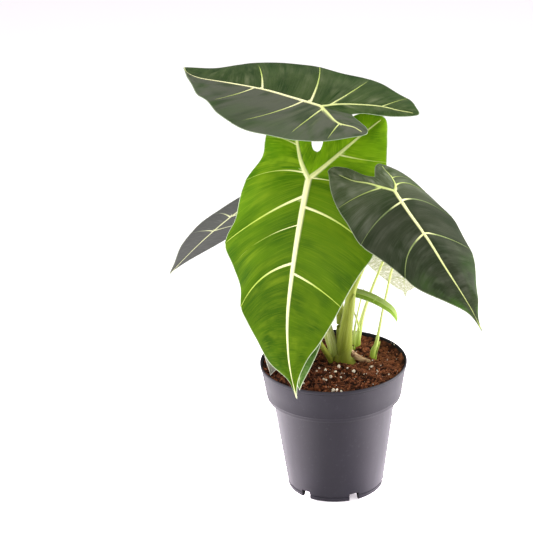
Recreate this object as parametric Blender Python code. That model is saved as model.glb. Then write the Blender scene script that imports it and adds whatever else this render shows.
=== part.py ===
"""A potted Alocasia in its nursery pot, one closed solid for each part.

Metres, +Z up. The origin is the middle of the pot's base on the floor, and the side
of the plant that faces the viewer is -Y.
"""
import math

import bmesh
import bpy
from mathutils import Euler, Matrix, Vector

MM = 0.001

# Pot and soil sizes in mm, as (radius, height) round the wall
POT_OUTSIDE = [(39.4, 0), (39.9, 3.4), (39.5, 3.8), (40.2, 4.6), (50.3, 78.6), (55.2, 80.7), (59.4, 107.4),
               (60, 108), (60, 110)]
POT_INSIDE = [(58.8, 110), (58.2, 107.6), (54, 81.9), (49.2, 79.9), (38.9, 5.6), (30, 5.6), (28.4, 1.6), (0, 1.6)]
POT_UNDERSIDE = [(0, 0), (29.4, 0), (31, 4), (35, 4), (36.5, 0)]
POT_SIDES = 48
NOTCH_ANGLES = (-40, 20, 80, 140, 200, 260)
NOTCH_WIDTH = 8
NOTCH_HEIGHT = 6.6
SOIL_WALL = [(0, 1.95), (27.9, 1.95), (29.6, 5.95), (38.3, 5.95), (48.6, 80.2), (53.4, 82.2), (57.8, 107)]
SOIL_RINGS = (54, 47, 40, 32, 24, 16, 8)
SOIL_TOP = 105.5

# Leaf sizes in mm
BLADE = 0.8
VEIN = 0.8
GAP = 0.45
VEIN_REACH = 0.92
THINNEST_VEIN = 0.65
COLUMNS = (0.35, 0.65, VEIN_REACH)
ROW_STEP = 18
SMALL_ROW_STEP = 26

# Each leaf has the place where its stem meets the blade and its turn in degrees. The bend is
# how fast the midrib bends down towards the tip and the lobes, per metre. A hook starts that far
# out in mm and bends faster. The fold and curl give the slope across each half. A row of a half has its distance along the midrib, or minus the
# distance along the lobe vein, then its margin point, its bow and its vein's half width.
LEAVES = {
    "top": {
        "place": (-6, 0, 328), "heading": 40, "pitch": -1, "roll": -2,
        "bend": (0.5, -1.0), "fold": 0.10, "curl": 3.0, "wave": 0.5, "vein": 1.9,
        "midrib": [(0, 0), (0, 36), (0, 70), (-5, 108), (-9, 138), (-3, 162), (7, 180)],
        "sinus": (2, -34),
        "lobes": {-1: [(8, -16), (21, -43), (22, -62), (27, -76)],
                  1: [(13, -14), (24, -40), (25, -62), (26, -76)]},
        "rows": {-1: [(150, 12, 152, 0, 0), (122, 28.5, 124, 2, 0), (95, 41, 102, 5, 0), (79, 48, 81, 5, 1.1),
                      (42, 60, 54, 8, 0), (22, 68, 28, 9, 1.3), (5, 70, 2, 6, 0), (-8, 66, -33, 1, 1.1),
                      (-28, 61, -48, 0, 0), (-50, 54, -66, 0, 0.9), (-68, 43, -77, 0, 0), (-80, 29.8, -84, 0, 0),
                      (-62, 16, -70, 0, 0), (-44, 9, -56, 0, 0), (-20, 3, -42, 0, 0)],
                 1: [(150, 18, 152, 0, 0), (100, 33, 140, 0, 0), (70, 45, 130, 2, 1.0), (40, 61, 98, 3, 0),
                     (15, 69, 78, 3, 1.3), (4, 65, 48, 4, 0), (-8, 71, 19, 4, 1.1), (-28, 62, -14, 1, 0),
                     (-50, 52, -44, 0, 0.9), (-68, 40, -65, 0, 0), (-79, 26.4, -82, 0, 0), (-62, 15, -68, 0, 0),
                     (-44, 10, -54, 0, 0), (-20, 7, -41, 0, 0)]},
    },
    "front": {
        "place": (-17, -15, 274), "heading": 165, "pitch": -45, "roll": 0,
        "bend": (4.0, 2.0), "fold": -0.05, "curl": 2.0, "wave": 1.2, "vein": 2.6,
        "midrib": [(0, 0), (2, 40), (4, 80), (5, 112), (3, 140), (0, 158), (-4, 175)],
        "sinus": (-3, -24.5),
        "lobes": {-1: [(12, -13), (24, -28), (36, -43), (48, -58)],
                  1: [(8, -14), (13, -28), (17, -43), (23, -58)]},
        "rows": {-1: [(162, 5, 160, 0, 0), (148, 12, 143, 0, 0), (122, 21, 130, 1, 0), (98, 29, 115, 2, 0),
                      (76, 36, 100, 2, 1.1), (50, 49, 73, 4, 0), (25, 58, 56, 5, 1.3), (8, 61, 32, 5, 0),
                      (-2, 61, 13, 4, 0.6), (-14, 61, -3, 2, 0), (-31, 59, -21, -1, 1.0), (-54, 56, -44, 0, 0),
                      (-75, 51.2, -62, 0, 0),
                      (-54, 33, -64, 0, 0), (-36, 19, -53, 0, 0), (-18, 8, -38, 0, 0), (-8, 5.8, -29, 0, 0)],
                 1: [(162, 3, 161, 0, 0), (148, 19, 148, 1, 0), (118, 30, 130, 3, 0), (92, 38, 117, 5, 0),
                     (68, 44, 106, 7, 1.2), (52, 46, 90, 6, 0), (38, 54, 73, 5, 0.5), (17, 62, 56, 3, 1.4),
                     (6, 56, 36, 4, 0), (0, 55, 20, 4, 0), (-7, 52, 3, 5, 0.9), (-20, 42, -18, 2, 0),
                     (-32, 42, -37, 2, 0.8), (-48, 38, -54, 0, 0),
                     (-63, 26.2, -66, 0, 0), (-46, 11, -52, 0, 0), (-28, 4, -38, 0, 0), (-13, 1.4, -29, 0, 0)]},
    },
    "right": {
        "place": (47.4, -57, 277.6), "heading": -147, "pitch": -27, "roll": -6,
        "bend": (0.3, 6.8), "fold": -0.23, "curl": 3.4, "wave": 0.8, "vein": 1.9,
        "midrib": [(0, 0), (2, 25), (3, 50), (6, 80), (8, 105), (10, 124), (13, 141)],
        "sinus": (4, -21),
        "lobes": {-1: [(7, -8), (11, -19), (12, -28), (15, -35)],
                  1: [(7, -8), (14, -17), (22, -26), (26, -38)]},
        "rows": {-1: [(130, -8, 128, 0, 0), (110, 5, 110, 0, 0), (84, 21, 89, 1, 0), (62, 35, 71, 2, 0),
                      (46, 42, 60, 2, 1.0), (28, 47, 40, 5, 0), (12, 51, 24, 8, 1.1), (3, 48, 8, 7, 0),
                      (-9, 43, -6, 6, 0.9), (-20, 37, -21, 2, 0.7), (-30, 29, -32, 0, 0), (-37, 16.6, -38.4, 0, 0),
                      (-24, 7, -34, 0, 0), (-12, 1, -28, 0, 0)],
                 1: [(128, 14, 125, 0, 0), (108, 22, 109, 1, 0), (80, 32, 92, 4, 0), (60, 36, 83, 5, 0),
                     (46, 38, 75, 5, 1.0), (28, 46, 49, 4, 0), (13, 50, 32, 3, 1.1), (3, 49, 12, 3, 0),
                     (-10, 48, -6, 2, 0.9), (-28, 41, -27, 0, 0), (-38, 32, -44, 0, 0), (-48, 29, -49, 0, 0),
                     (-43, 23, -50, 0, 0), (-34, 16, -41, 0, 0), (-20, 10, -27, 0, 0)]},
    },
}

# The smaller leaves share one outline, in hundredths of the leaf's length
PLAIN_LEAF = {
    "midrib": [(0, 0), (0, 34), (0, 67), (0, 100)],
    "sinus": (0, -12),
    "lobe": [(8, -12), (17, -28), (21, -42)],
    "rows": [(86, 6, 88, 0, 0), (66, 18, 68, 2, 0), (42, 29, 47, 4, 1.0), (22, 36, 27, 4, 0),
             (8, 39, 8, 4, 1.0), (-8, 38, -12, 2, 0), (-30, 31, -35, 0, 0), (-46, 22.1, -46, 0, 0),
             (-30, 13, -36, 0, 0), (-14, 7, -24, 0, 0)],
}
BROAD_ROWS = [(96, 10, 96, 0, 0), (86, 22, 87, 0, 0), (68, 30, 70, 2, 0), (46, 34, 50, 3, 0), (22, 37, 27, 3, 0)]
BACKWARD_ROWS = [(86, 6, 88, 0, 0), (70, 18, 68, 1, 0), (56, 29, 47, 1, 0), (50, 32.7, 38, 1, 1.0), (42, 36, 27, 1, 0),
                 (32, 39, 8, 1, 1.0), (12, 38, -12, 1, 0)]
SMALL_LEAVES = {
    "left": {"place": (-54, 58, 235), "heading": 55, "pitch": -37, "roll": 13, "length": 133, "width": 1.0,
             "bend": (1.7, 2.9), "fold": -0.08, "curl": 1.5, "wave": 0.3, "vein": 1.6,
             "rows": BACKWARD_ROWS + PLAIN_LEAF["rows"][6:]},
    "hidden": {"place": (-28, -30, 163), "heading": 178, "pitch": -52, "roll": 0, "length": 59, "width": 0.9,
               "bend": (2.0, 2.0), "fold": -0.05, "curl": 2.0, "wave": 0, "vein": 1.0},
    "pale": {"place": (58, 52, 190), "heading": -12, "pitch": -58, "roll": 0, "length": 72, "width": 1.2,
             "bend": (2.0, 2.0), "fold": -0.1, "curl": 3.0, "wave": 0, "vein": 0.8},
    "arched": {"place": (15, 20, 161), "heading": -106, "pitch": -5, "roll": -7, "length": 48, "width": 0.63,
               "lobes": 0.2, "bend": (14.0, 2.0), "hook": (35, 65.0), "fold": 0.1, "curl": 6.0, "wave": 0, "vein": 0.8,
               "rows": BROAD_ROWS + PLAIN_LEAF["rows"][4:]},
    "low": {"place": (-44, -7, 131), "heading": 150, "pitch": -55, "roll": 0, "length": 28, "width": 1.25,
            "bend": (2.0, 2.0), "fold": -0.1, "curl": 4.0, "wave": 0, "vein": 0.7},
}

# Stems in mm, as (x, y, z, radius) from below the soil up. The last points come from the blade
STEMS = {
    "right": [(9.4, 10, 98, 6.2), (9.4, 9, 118, 6.1), (11, 6, 136, 4.7), (13.4, 2, 155, 3.9),
              (16, -3, 172.6, 3.3), (21.3, -10, 190, 3.0), (35, -25, 229, 2.7), (44, -40, 253, 2.5)],
    "top": [(5, 12, 98, 3.6), (6.4, 12, 124, 3.4), (6.6, 12, 146, 3.2), (5, 14, 212, 2.5), (5, 16.5, 250, 2.4),
            (4, 17, 278, 2.3), (0.5, 15.2, 292, 2.2), (-3.5, 11.8, 304, 2.2)],
    "front": [(3.5, 11, 98, 3.2), (1.2, 10, 118, 2.8), (-2, 9, 133, 2.6), (-6, 8, 150, 2.6), (-12, 4, 206, 2.6)],
    "left": [(3, 14, 98, 3.0), (-6, 17, 130, 2.5), (-24, 30, 182, 2.3)],
    "hidden": [(1, 8, 98, 2.6), (-2.5, 7, 108, 2.4), (-9.6, 0, 123.5, 2.2), (-15, -8, 136, 1.8)],
    "arched": [(11, 14, 98, 3.0), (12, 18, 125, 2.0), (13.5, 20, 143, 1.5)],
    "pale": [(33, 14, 86, 2.5), (33, 14, 108, 2.4), (35.8, 15, 116, 1.7), (38.6, 20, 126, 1.3), (42.8, 33, 139, 1.1),
             (46.8, 42, 151.4, 1.1), (50.6, 48, 165.5, 1.0)],
    "low": [(-21, 10, 86, 1.8), (-21, 10, 106, 1.8), (-28, 5, 121, 1.4)],
    "shoot": [(21.4, 36, 86, 2.8), (21.4, 36, 108, 2.7), (23.4, 38, 118.7, 2.2), (26.5, 42, 130, 1.7),
              (33.3, 49, 147.2, 1.2), (43.2, 55, 169.6, 1.0), (46, 55, 178, 0.8)],
}
CROWN = [(6, 10, 84, 6.5), (6, 10, 104, 7.0), (6, 10, 110, 6.6), (6, 10, 113, 5.0)]
CROWN_STEMS = ("right", "top", "front", "left", "hidden", "arched")
STEM_SIDES = 8
STEM_STEPS = 2
HOLE_GAP = 0.9
SHEATH = [(16.8, 6, 112.3), (19.8, 5, 109.8), (24, 4, 107.6), (30, 3, 106.5)]


def remove_all_objects():
    for old in list(bpy.data.objects):
        bpy.data.objects.remove(old, do_unlink=True)


def make_material(name, colour, roughness):
    material = bpy.data.materials.new(name)
    material.use_nodes = True
    shader = material.node_tree.nodes["Principled BSDF"]
    shader.inputs["Base Color"].default_value = (*colour, 1)
    shader.inputs["Roughness"].default_value = roughness
    shader.inputs["Metallic"].default_value = 0
    return material


def make_object(name, bm, material=None):
    """Turn a bmesh into a named object with outward faces."""
    bmesh.ops.recalc_face_normals(bm, faces=bm.faces)
    mesh = bpy.data.meshes.new(name)
    bm.to_mesh(mesh)
    bm.free()
    thing = bpy.data.objects.new(name, mesh)
    bpy.context.scene.collection.objects.link(thing)
    if material:
        mesh.materials.append(material)
    return thing


def combine(thing, other, operation):
    """Join or cut a solid with another, which is then hidden."""
    modifier = thing.modifiers.new(other.name, "BOOLEAN")
    modifier.operation = operation
    modifier.solver = "EXACT"
    modifier.object = other
    other.hide_render = True
    other.display_type = "WIRE"


def spline(points, t):
    """Point on the smooth curve through the points, with t counted in points."""
    i = max(0, min(int(t), len(points) - 2))
    f = t - i
    a = points[max(i - 1, 0)]
    b = points[i]
    c = points[i + 1]
    d = points[min(i + 2, len(points) - 1)]
    return 0.5 * (2 * b + (c - a) * f + (2 * a - 5 * b + 4 * c - d) * f**2 + (3 * b - a - 3 * c + d) * f**3)


def lengths(points):
    return [(points[i + 1] - points[i]).length for i in range(len(points) - 1)]


def along(points, distance):
    """Point a distance along the smooth curve through the points."""
    steps = lengths(points)
    i = 0
    while i < len(steps) - 1 and distance > steps[i]:
        distance -= steps[i]
        i += 1
    return spline(points, i + min(1, distance / steps[i]))


class Half:
    """One half of a blade, laid out flat in mm between its veins and its margin."""

    def __init__(self, leaf, side):
        self.side = side
        self.vein = leaf["vein"]
        self.midrib = [Vector(p) for p in leaf["midrib"]]
        self.length = sum(lengths(self.midrib))
        self.lobe = [self.midrib[0]] + [Vector((side * u, v)) for u, v in leaf["lobes"][side]]
        self.reach = sum(lengths(self.lobe))
        rows = leaf["rows"][side]
        self.turn = 1 + min(range(len(rows)), key=lambda i: rows[i][0])
        self.station = [self.length] + [row[0] for row in rows] + [0]
        self.station[self.turn] = -self.reach
        self.margin = [self.midrib[-1]] + [Vector((side * row[1], row[2])) for row in rows] + [Vector(leaf["sinus"])]
        self.bow = [0] + [row[3] for row in rows] + [0]
        self.width = [0] + [row[4] if row[4] > THINNEST_VEIN else 0 for row in rows] + [0]
        self.travel = [self.to_travel(s, i > self.turn) for i, s in enumerate(self.station)]

    def to_travel(self, station, inner):
        """Distance walked from the tip to J, out along the lobe vein and back to J."""
        return self.length + 2 * self.reach + station if inner else self.length - station

    def band(self, i):
        """Half the width of a vein where it leaves the spine."""
        return max(1, round(1.2 * self.width[i]))

    def spine(self, travel):
        if travel <= self.length:
            return along(self.midrib, self.length - travel)
        out = travel - self.length
        return along(self.lobe, out if out < self.reach else 2 * self.reach - out)

    def row_point(self, travel, p):
        """Point on the plain row that starts at this travel."""
        last = len(self.travel) - 2
        i = 0
        while i < last and travel > self.travel[i + 1]:
            i += 1
        f = (travel - self.travel[i]) / (self.travel[i + 1] - self.travel[i])
        start = self.spine(travel)
        out = spline(self.margin, i + f) - start
        bow = self.bow[i] * (1 - f) + self.bow[i + 1] * f
        across = Vector((out.y, -out.x)).normalized() * self.side
        return start + out * p + across * (4 * bow * p * (1 - p))

    def point(self, travel, p):
        """Point on any row, with the rows beside a vein kept apart by its width."""
        for i, width in enumerate(self.width):
            band = self.band(i)
            if width and abs(travel - self.travel[i]) <= band and p > 0:
                centre = self.row_point(self.travel[i], p)
                ahead = self.row_point(self.travel[i], p + 0.01) - centre
                across = Vector((ahead.y, -ahead.x)).normalized() * self.side
                taper = 1 - 0.7 * p
                return centre + across * (width * taper * (travel - self.travel[i]) / band)
        return self.row_point(travel, p)

    def first_column(self, travel):
        """How far out the edge of the midrib or lobe vein lies on this row."""
        if travel <= self.length:
            wide = 1 - 0.75 * (1 - travel / self.length)
        else:
            wide = 0.95 - 0.65 * (1 - abs(1 - (travel - self.length) / self.reach))
        out = (self.row_point(travel, 1) - self.spine(travel)).length
        return min(0.25, 1.15 * self.vein * wide / max(out, 0.1))

    def in_vein(self, travel):
        return any(w and abs(travel - self.travel[i]) < self.band(i) for i, w in enumerate(self.width))


def fill(values, step):
    """The values in order, with more between any two that lie far apart."""
    values = sorted(values)
    filled = [values[0]]
    for value in values[1:]:
        start = filled[-1]
        parts = math.ceil((value - start) / step)
        filled += [start + (value - start) * k / parts for k in range(1, parts + 1)]
    return filled


def choose_rows(halves, end, place, step):
    """Distances for rows from 0 to the end: beside each vein, then the plain rows with room."""
    beside = []
    plain = []
    for half in halves:
        for i, travel in enumerate(half.travel):
            if half.width[i]:
                beside += [place(travel - half.band(i)), place(travel + half.band(i))]
            else:
                plain.append(place(travel))
    kept = [0, end]
    for values, room in ((beside, 0.6), (plain, 0.35 * step)):
        for value in values:
            if 1 < value < end - 1 and all(abs(value - other) >= room for other in kept):
                kept.append(value)
    return fill(kept, step)


def half_travels(halves, half, step):
    """The rows of a half, at the same spine points as the rows they meet."""
    whole = half.length + half.reach

    def lobe_distance(travel):
        return travel - half.length if travel < whole else whole + half.reach - travel

    outer = choose_rows(halves, half.length, lambda travel: travel, step)
    lobe = choose_rows([half], half.reach, lobe_distance, step)
    back = [whole + half.reach - out for out in lobe[-2::-1]]
    return outer + [half.length + out for out in lobe[1:]] + back


def curve_out(distance, slope, bend):
    """Run and rise of an arc that starts at a slope and bends down."""
    if abs(bend) < 1e-9:
        return distance * math.cos(slope), distance * math.sin(slope)
    end = slope - bend * distance
    return (math.sin(slope) - math.sin(end)) / bend, (math.cos(end) - math.cos(slope)) / bend


def shape(leaf, flat, p):
    """Bend a flat point in mm into the leaf's own space in metres."""
    bend = leaf["bend"][0] if flat.y >= 0 else leaf["bend"][1]
    start, hook = leaf.get("hook", (1000, 0))
    run, rise = curve_out(min(flat.y, start) * MM, 0, bend)
    slope = -bend * min(flat.y, start) * MM
    if flat.y > start:
        more_run, more_rise = curve_out((flat.y - start) * MM, slope, hook)
        run += more_run
        rise += more_rise
        slope -= hook * (flat.y - start) * MM
    across, lift = curve_out(abs(flat.x) * MM, leaf["fold"], leaf["curl"])
    lift += leaf["wave"] * MM * p * p * math.sin(flat.y / 9 + flat.x / 28)
    return Vector((math.copysign(across, flat.x), run - lift * math.sin(slope), rise + lift * math.cos(slope)))


def leaf_sheet(leaf):
    """The blade as one open sheet, with its vein faces marked by the second material."""
    bm = bmesh.new()
    halves = [Half(leaf, side) for side in (-1, 1)]
    for half in halves:
        travels = half_travels(halves, half, ROW_STEP if leaf["vein"] else SMALL_ROW_STEP)
        columns = len(COLUMNS) + 3
        first = len(bm.verts)
        bmesh.ops.create_grid(bm, x_segments=len(travels) - 1, y_segments=columns - 1, size=1)
        bm.verts.ensure_lookup_table()
        place = {}
        for vert in bm.verts[first:]:
            row = round((vert.co.x + 1) / 2 * (len(travels) - 1))
            column = round((vert.co.y + 1) / 2 * (columns - 1))
            place[vert] = (row, column)
        for face in [f for f in bm.faces if f.verts[0] in place]:
            rows = [place[v][0] for v in face.verts]
            column = min(place[v][1] for v in face.verts)
            middle = (travels[min(rows)] + travels[max(rows)]) / 2
            short_of_end = abs(middle - half.length - half.reach) > 0.12 * half.reach
            main = column == 0 and min(rows) > 0 and short_of_end
            branch = half.in_vein(middle) and 0 < column < columns - 2
            face.material_index = 1 if main or branch else 0
        for vert, (row, column) in place.items():
            travel = travels[row]
            p = (0, half.first_column(travel), *COLUMNS, 1)[column]
            vert.co = shape(leaf, half.point(travel, p), p)
    bmesh.ops.remove_doubles(bm, verts=bm.verts, dist=0.05 * MM)
    bmesh.ops.recalc_face_normals(bm, faces=bm.faces)
    if sum(face.normal.z for face in bm.faces) < 0:
        bmesh.ops.reverse_faces(bm, faces=bm.faces)
    bmesh.ops.triangulate(bm, faces=bm.faces)
    return bm


def thicken(bm, normals, low, high):
    """Close a sheet into a solid that runs from low to high above it, in mm."""
    upper = list(bm.verts)
    made = bmesh.ops.extrude_face_region(bm, geom=bm.faces[:], use_keep_orig=True)
    lower = [item for item in made["geom"] if isinstance(item, bmesh.types.BMVert)]
    for verts, height in ((upper, high), (lower, low)):
        for vert in verts:
            vert.co += vert[normals] * (height * MM)


def place_leaf(thing, leaf):
    thing.location = Vector(leaf["place"]) * MM
    thing.rotation_mode = "YXZ"
    thing.rotation_euler = [math.radians(leaf[turn]) for turn in ("pitch", "roll", "heading")]


def make_leaf(name, leaf, blade_material, vein_material=None):
    bm = leaf_sheet(leaf)
    normals = bm.verts.layers.float_vector.new("normal")
    bm.normal_update()
    for vert in bm.verts:
        vert[normals] = vert.normal
    net = bm.copy() if vein_material else None
    thicken(bm, normals, -BLADE / 2, BLADE / 2)
    made = [make_object("leaf_" + name, bm, blade_material)]
    if net:
        normals = net.verts.layers.float_vector["normal"]
        bmesh.ops.delete(net, geom=[f for f in net.faces if f.material_index == 0], context="FACES")
        thicken(net, normals, BLADE / 2 + GAP, BLADE / 2 + GAP + VEIN)
        made.append(make_object("veins_" + name, net, vein_material))
    for thing in made:
        place_leaf(thing, leaf)
        for polygon in thing.data.polygons:
            polygon.material_index = 0


def small_leaf(given):
    """Fill in a smaller leaf from the shared outline."""
    size = given["length"] / 100
    wide = size * given["width"]
    leaf = dict(given)
    leaf["midrib"] = [(u * wide, v * size) for u, v in PLAIN_LEAF["midrib"]]
    back = size * given.get("lobes", 1)
    leaf["sinus"] = (0, PLAIN_LEAF["sinus"][1] * back)
    lobe = [(u * wide, v * back) for u, v in PLAIN_LEAF["lobe"]]
    rows = []
    for s, u, v, bow, width in given.get("rows", PLAIN_LEAF["rows"]):
        scale = size if v > 0 else back
        rows.append((s * (size if s > 0 else back), u * wide, v * scale, bow * size, width if size > 1 else 0))
    leaf["lobes"] = {-1: lobe, 1: lobe}
    leaf["rows"] = {-1: rows, 1: rows}
    return leaf


def make_tube(name, points, material=None, grow=0.0):
    """A stem through (x, y, z, radius) points in mm, swept ring by ring."""
    middles = [Vector(p[:3]) for p in points]
    radii = [Vector((p[3], 0)) for p in points]
    count = STEM_STEPS * (len(points) - 1)
    frames = []
    for k in range(count + 1):
        t = k / STEM_STEPS
        ahead = spline(middles, min(t + 0.05, len(points) - 1)) - spline(middles, max(t - 0.05, 0))
        turn = ahead.to_track_quat("Z", "Y").to_matrix().to_4x4()
        radius = spline(radii, t).x + grow
        frames.append(Matrix.Translation(spline(middles, t) * MM) @ turn @ Matrix.Scale(radius * MM, 4))
    bm = bmesh.new()
    bmesh.ops.create_circle(bm, cap_ends=True, segments=STEM_SIDES, radius=1, matrix=frames[0])
    cap = bm.faces[:]
    for before, after in zip(frames, frames[1:]):
        made = bmesh.ops.extrude_face_region(bm, geom=cap)
        if before is not frames[0]:
            bmesh.ops.delete(bm, geom=cap, context="FACES_ONLY")
        cap = [item for item in made["geom"] if isinstance(item, bmesh.types.BMFace)]
        verts = [item for item in made["geom"] if isinstance(item, bmesh.types.BMVert)]
        bmesh.ops.transform(bm, matrix=after @ before.inverted(), verts=verts)
    return make_object(name, bm, material)


def stem_points(name, leaf):
    """A leaf's stem, with its last points behind the blade where it joins."""
    turn = Euler([math.radians(leaf[t]) for t in ("pitch", "roll", "heading")], "YXZ").to_matrix()
    up = turn @ Vector((0, 0, 1))
    tip_radius = min(2.2, STEMS[name][-1][3])
    bend_start = Vector(leaf["place"]) - up * (6 * tip_radius)
    slack = 0.3 + tip_radius * (0.15 + max(0, -leaf["fold"]))
    end = Vector(leaf["place"]) - up * (BLADE / 2 + slack)
    return STEMS[name] + [(*bend_start, tip_radius), (*end, tip_radius)]


def spin_profile(name, profile, material):
    """A solid of revolution from (radius, height) points in mm that start and end on the axis."""
    bm = bmesh.new()
    verts = [bm.verts.new((r * MM, 0, z * MM)) for r, z in profile]
    edges = [bm.edges.new(pair) for pair in zip(verts, verts[1:])]
    bmesh.ops.spin(bm, geom=verts + edges, axis=(0, 0, 1), cent=(0, 0, 0), steps=POT_SIDES,
                   angle=2 * math.pi, use_merge=True)
    bmesh.ops.remove_doubles(bm, verts=bm.verts, dist=0.01 * MM)
    return make_object(name, bm, material)


def make_pot(material):
    pot = spin_profile("pot", POT_UNDERSIDE + POT_OUTSIDE + POT_INSIDE, material)
    bm = bmesh.new()
    for angle in NOTCH_ANGLES:
        turn = Matrix.Rotation(math.radians(angle - 90), 4, "Z")
        size = Matrix.Diagonal((14 * MM, NOTCH_WIDTH * MM, 2 * NOTCH_HEIGHT * MM, 1))
        bmesh.ops.create_cube(bm, size=1, matrix=turn @ Matrix.Translation((41 * MM, 0, 0)) @ size)
    combine(pot, make_object("notch_cutter", bm), "DIFFERENCE")


def soil_height(x, y):
    """Bumps of the soil surface in mm."""
    return 0.9 * math.sin(x / 6.1 + 0.6) * math.cos(y / 7.3) + 0.7 * math.sin((x + y) / 4.3) - 0.6 * math.cos(y / 9 - 1)


def make_soil(material):
    rings = [(r, SOIL_TOP) for r in SOIL_RINGS] + [(0, SOIL_TOP)]
    soil = spin_profile("soil", SOIL_WALL + rings, material)
    for vert in soil.data.vertices:
        if abs(vert.co.z - SOIL_TOP * MM) < MM:
            vert.co.z += soil_height(vert.co.x / MM, vert.co.y / MM) * MM
    holes = [make_tube("crown_hole", [(5, 10, 83, 8.6), (5, 10, 98, 10.6), (5, 10, 114, 11)], grow=HOLE_GAP)]
    for name in ("pale", "low", "shoot"):
        x, y, z, radius = STEMS[name][0]
        holes.append(make_tube(name + "_hole", [(x, y, z - 1, radius), (x, y, 112, radius)], grow=HOLE_GAP))
    for hole in holes:
        combine(soil, hole, "DIFFERENCE")


def make_stems(leaves, material):
    crown = make_tube("stem_cluster", CROWN, material)
    for name in CROWN_STEMS:
        combine(crown, make_tube(name + "_stem", stem_points(name, leaves[name])), "UNION")
    for name in ("pale", "low"):
        make_tube("stem_" + name, stem_points(name, leaves[name]), material)
    make_tube("stem_shoot", STEMS["shoot"], material)


def make_sheath(material):
    """The dry leaf base that lies curled on the soil beside the crown."""
    bm = bmesh.new()
    bmesh.ops.create_grid(bm, x_segments=6, y_segments=4, size=1)
    path = [Vector(p) for p in SHEATH]
    for vert in bm.verts:
        t = (vert.co.x + 1) / 2
        turn = vert.co.y * 1.1
        reach = 3.4 * (1 - 0.7 * t * t)
        up = Vector((0, 0.45, 0.9)) * math.sin(turn)
        back = Vector((0, 0.9, -0.45)) * (1 - math.cos(turn))
        vert.co = (spline(path, t * (len(path) - 1)) + (up + back) * reach) * MM
    bmesh.ops.triangulate(bm, faces=bm.faces)
    bmesh.ops.recalc_face_normals(bm, faces=bm.faces)
    normals = bm.verts.layers.float_vector.new("normal")
    bm.normal_update()
    for vert in bm.verts:
        vert[normals] = vert.normal
    thicken(bm, normals, -0.4, 0.4)
    make_object("dry_sheath", bm, material)


def main():
    remove_all_objects()
    leaves = dict(LEAVES)
    leaves.update({name: small_leaf(given) for name, given in SMALL_LEAVES.items()})
    dark = make_material("dark_leaf", (0.040, 0.052, 0.036), 0.5)
    grey = make_material("grey_leaf", (0.12, 0.13, 0.11), 0.5)
    bright = make_material("bright_leaf", (0.075, 0.22, 0.012), 0.45)
    pale = make_material("pale_leaf", (0.62, 0.70, 0.42), 0.5)
    vein = make_material("vein", (0.62, 0.68, 0.32), 0.45)
    stem = make_material("stem", (0.35, 0.46, 0.11), 0.4)
    plastic = make_material("pot_plastic", (0.065, 0.062, 0.078), 0.35)
    coir = make_material("soil", (0.115, 0.045, 0.022), 0.95)
    husk = make_material("dry_husk", (0.55, 0.36, 0.20), 0.8)
    make_pot(plastic)
    make_soil(coir)
    make_stems(leaves, stem)
    make_sheath(husk)
    make_leaf("top", leaves["top"], dark, vein)
    make_leaf("front", leaves["front"], bright, vein)
    make_leaf("right", leaves["right"], dark, vein)
    make_leaf("left", leaves["left"], grey, vein)
    make_leaf("hidden", leaves["hidden"], bright)
    make_leaf("pale", leaves["pale"], pale)
    make_leaf("arched", leaves["arched"], bright)
    make_leaf("low", leaves["low"], grey)


main()
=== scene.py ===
import math
import random

import bmesh
import bpy
from mathutils import Euler, Matrix, Vector, kdtree, noise


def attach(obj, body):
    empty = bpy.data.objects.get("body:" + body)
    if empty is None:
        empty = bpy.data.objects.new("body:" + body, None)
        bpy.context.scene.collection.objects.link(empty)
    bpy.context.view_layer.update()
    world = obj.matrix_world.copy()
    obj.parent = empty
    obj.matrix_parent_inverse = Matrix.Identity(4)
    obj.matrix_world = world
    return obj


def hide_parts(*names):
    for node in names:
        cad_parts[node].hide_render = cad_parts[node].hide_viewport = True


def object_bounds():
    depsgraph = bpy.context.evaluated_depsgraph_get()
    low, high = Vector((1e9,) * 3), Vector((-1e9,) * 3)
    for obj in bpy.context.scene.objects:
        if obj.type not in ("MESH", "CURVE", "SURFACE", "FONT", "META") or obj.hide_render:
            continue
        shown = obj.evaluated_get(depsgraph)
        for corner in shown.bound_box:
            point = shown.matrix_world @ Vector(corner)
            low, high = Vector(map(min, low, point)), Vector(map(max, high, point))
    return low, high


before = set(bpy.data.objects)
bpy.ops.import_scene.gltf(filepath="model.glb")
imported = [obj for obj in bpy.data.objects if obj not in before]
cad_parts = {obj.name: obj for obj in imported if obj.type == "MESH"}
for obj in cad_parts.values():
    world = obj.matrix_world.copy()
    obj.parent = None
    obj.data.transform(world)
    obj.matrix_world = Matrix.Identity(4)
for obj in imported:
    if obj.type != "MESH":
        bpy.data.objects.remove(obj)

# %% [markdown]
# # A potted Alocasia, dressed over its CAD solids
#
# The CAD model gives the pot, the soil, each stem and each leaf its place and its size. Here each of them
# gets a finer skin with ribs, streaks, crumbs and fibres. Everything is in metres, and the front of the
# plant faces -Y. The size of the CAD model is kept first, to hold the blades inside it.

MM = 0.001


def add_object(name, data):
    """A new object in the scene."""
    made = bpy.data.objects.new(name, data)
    bpy.context.scene.collection.objects.link(made)
    return made


def mesh_from(name, bm):
    """A mesh made of a bmesh, which is used up."""
    mesh = bpy.data.meshes.new(name)
    bm.to_mesh(mesh)
    bm.free()
    return mesh


cad_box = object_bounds()
print("CAD size in mm:", [round((high - low) / MM, 1) for low, high in zip(*cad_box)])

# %% [markdown]
# ## The camera
#
# The photograph looks down on the plant from a little way off. How far down it looks shows in the
# pot's rim, which is an ellipse whose height against its width gives the angle. A long lens from
# 1.8 m away gives the pot's wall the same slight narrowing as in the photograph.

# %% Camera
ELEVATION = 22.98
ROLL = -1.84
DISTANCE = 1.8
TARGET = Vector((-0.0521, 0, 0.1947))
LENS = 151.7
SENSOR = 36

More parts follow.
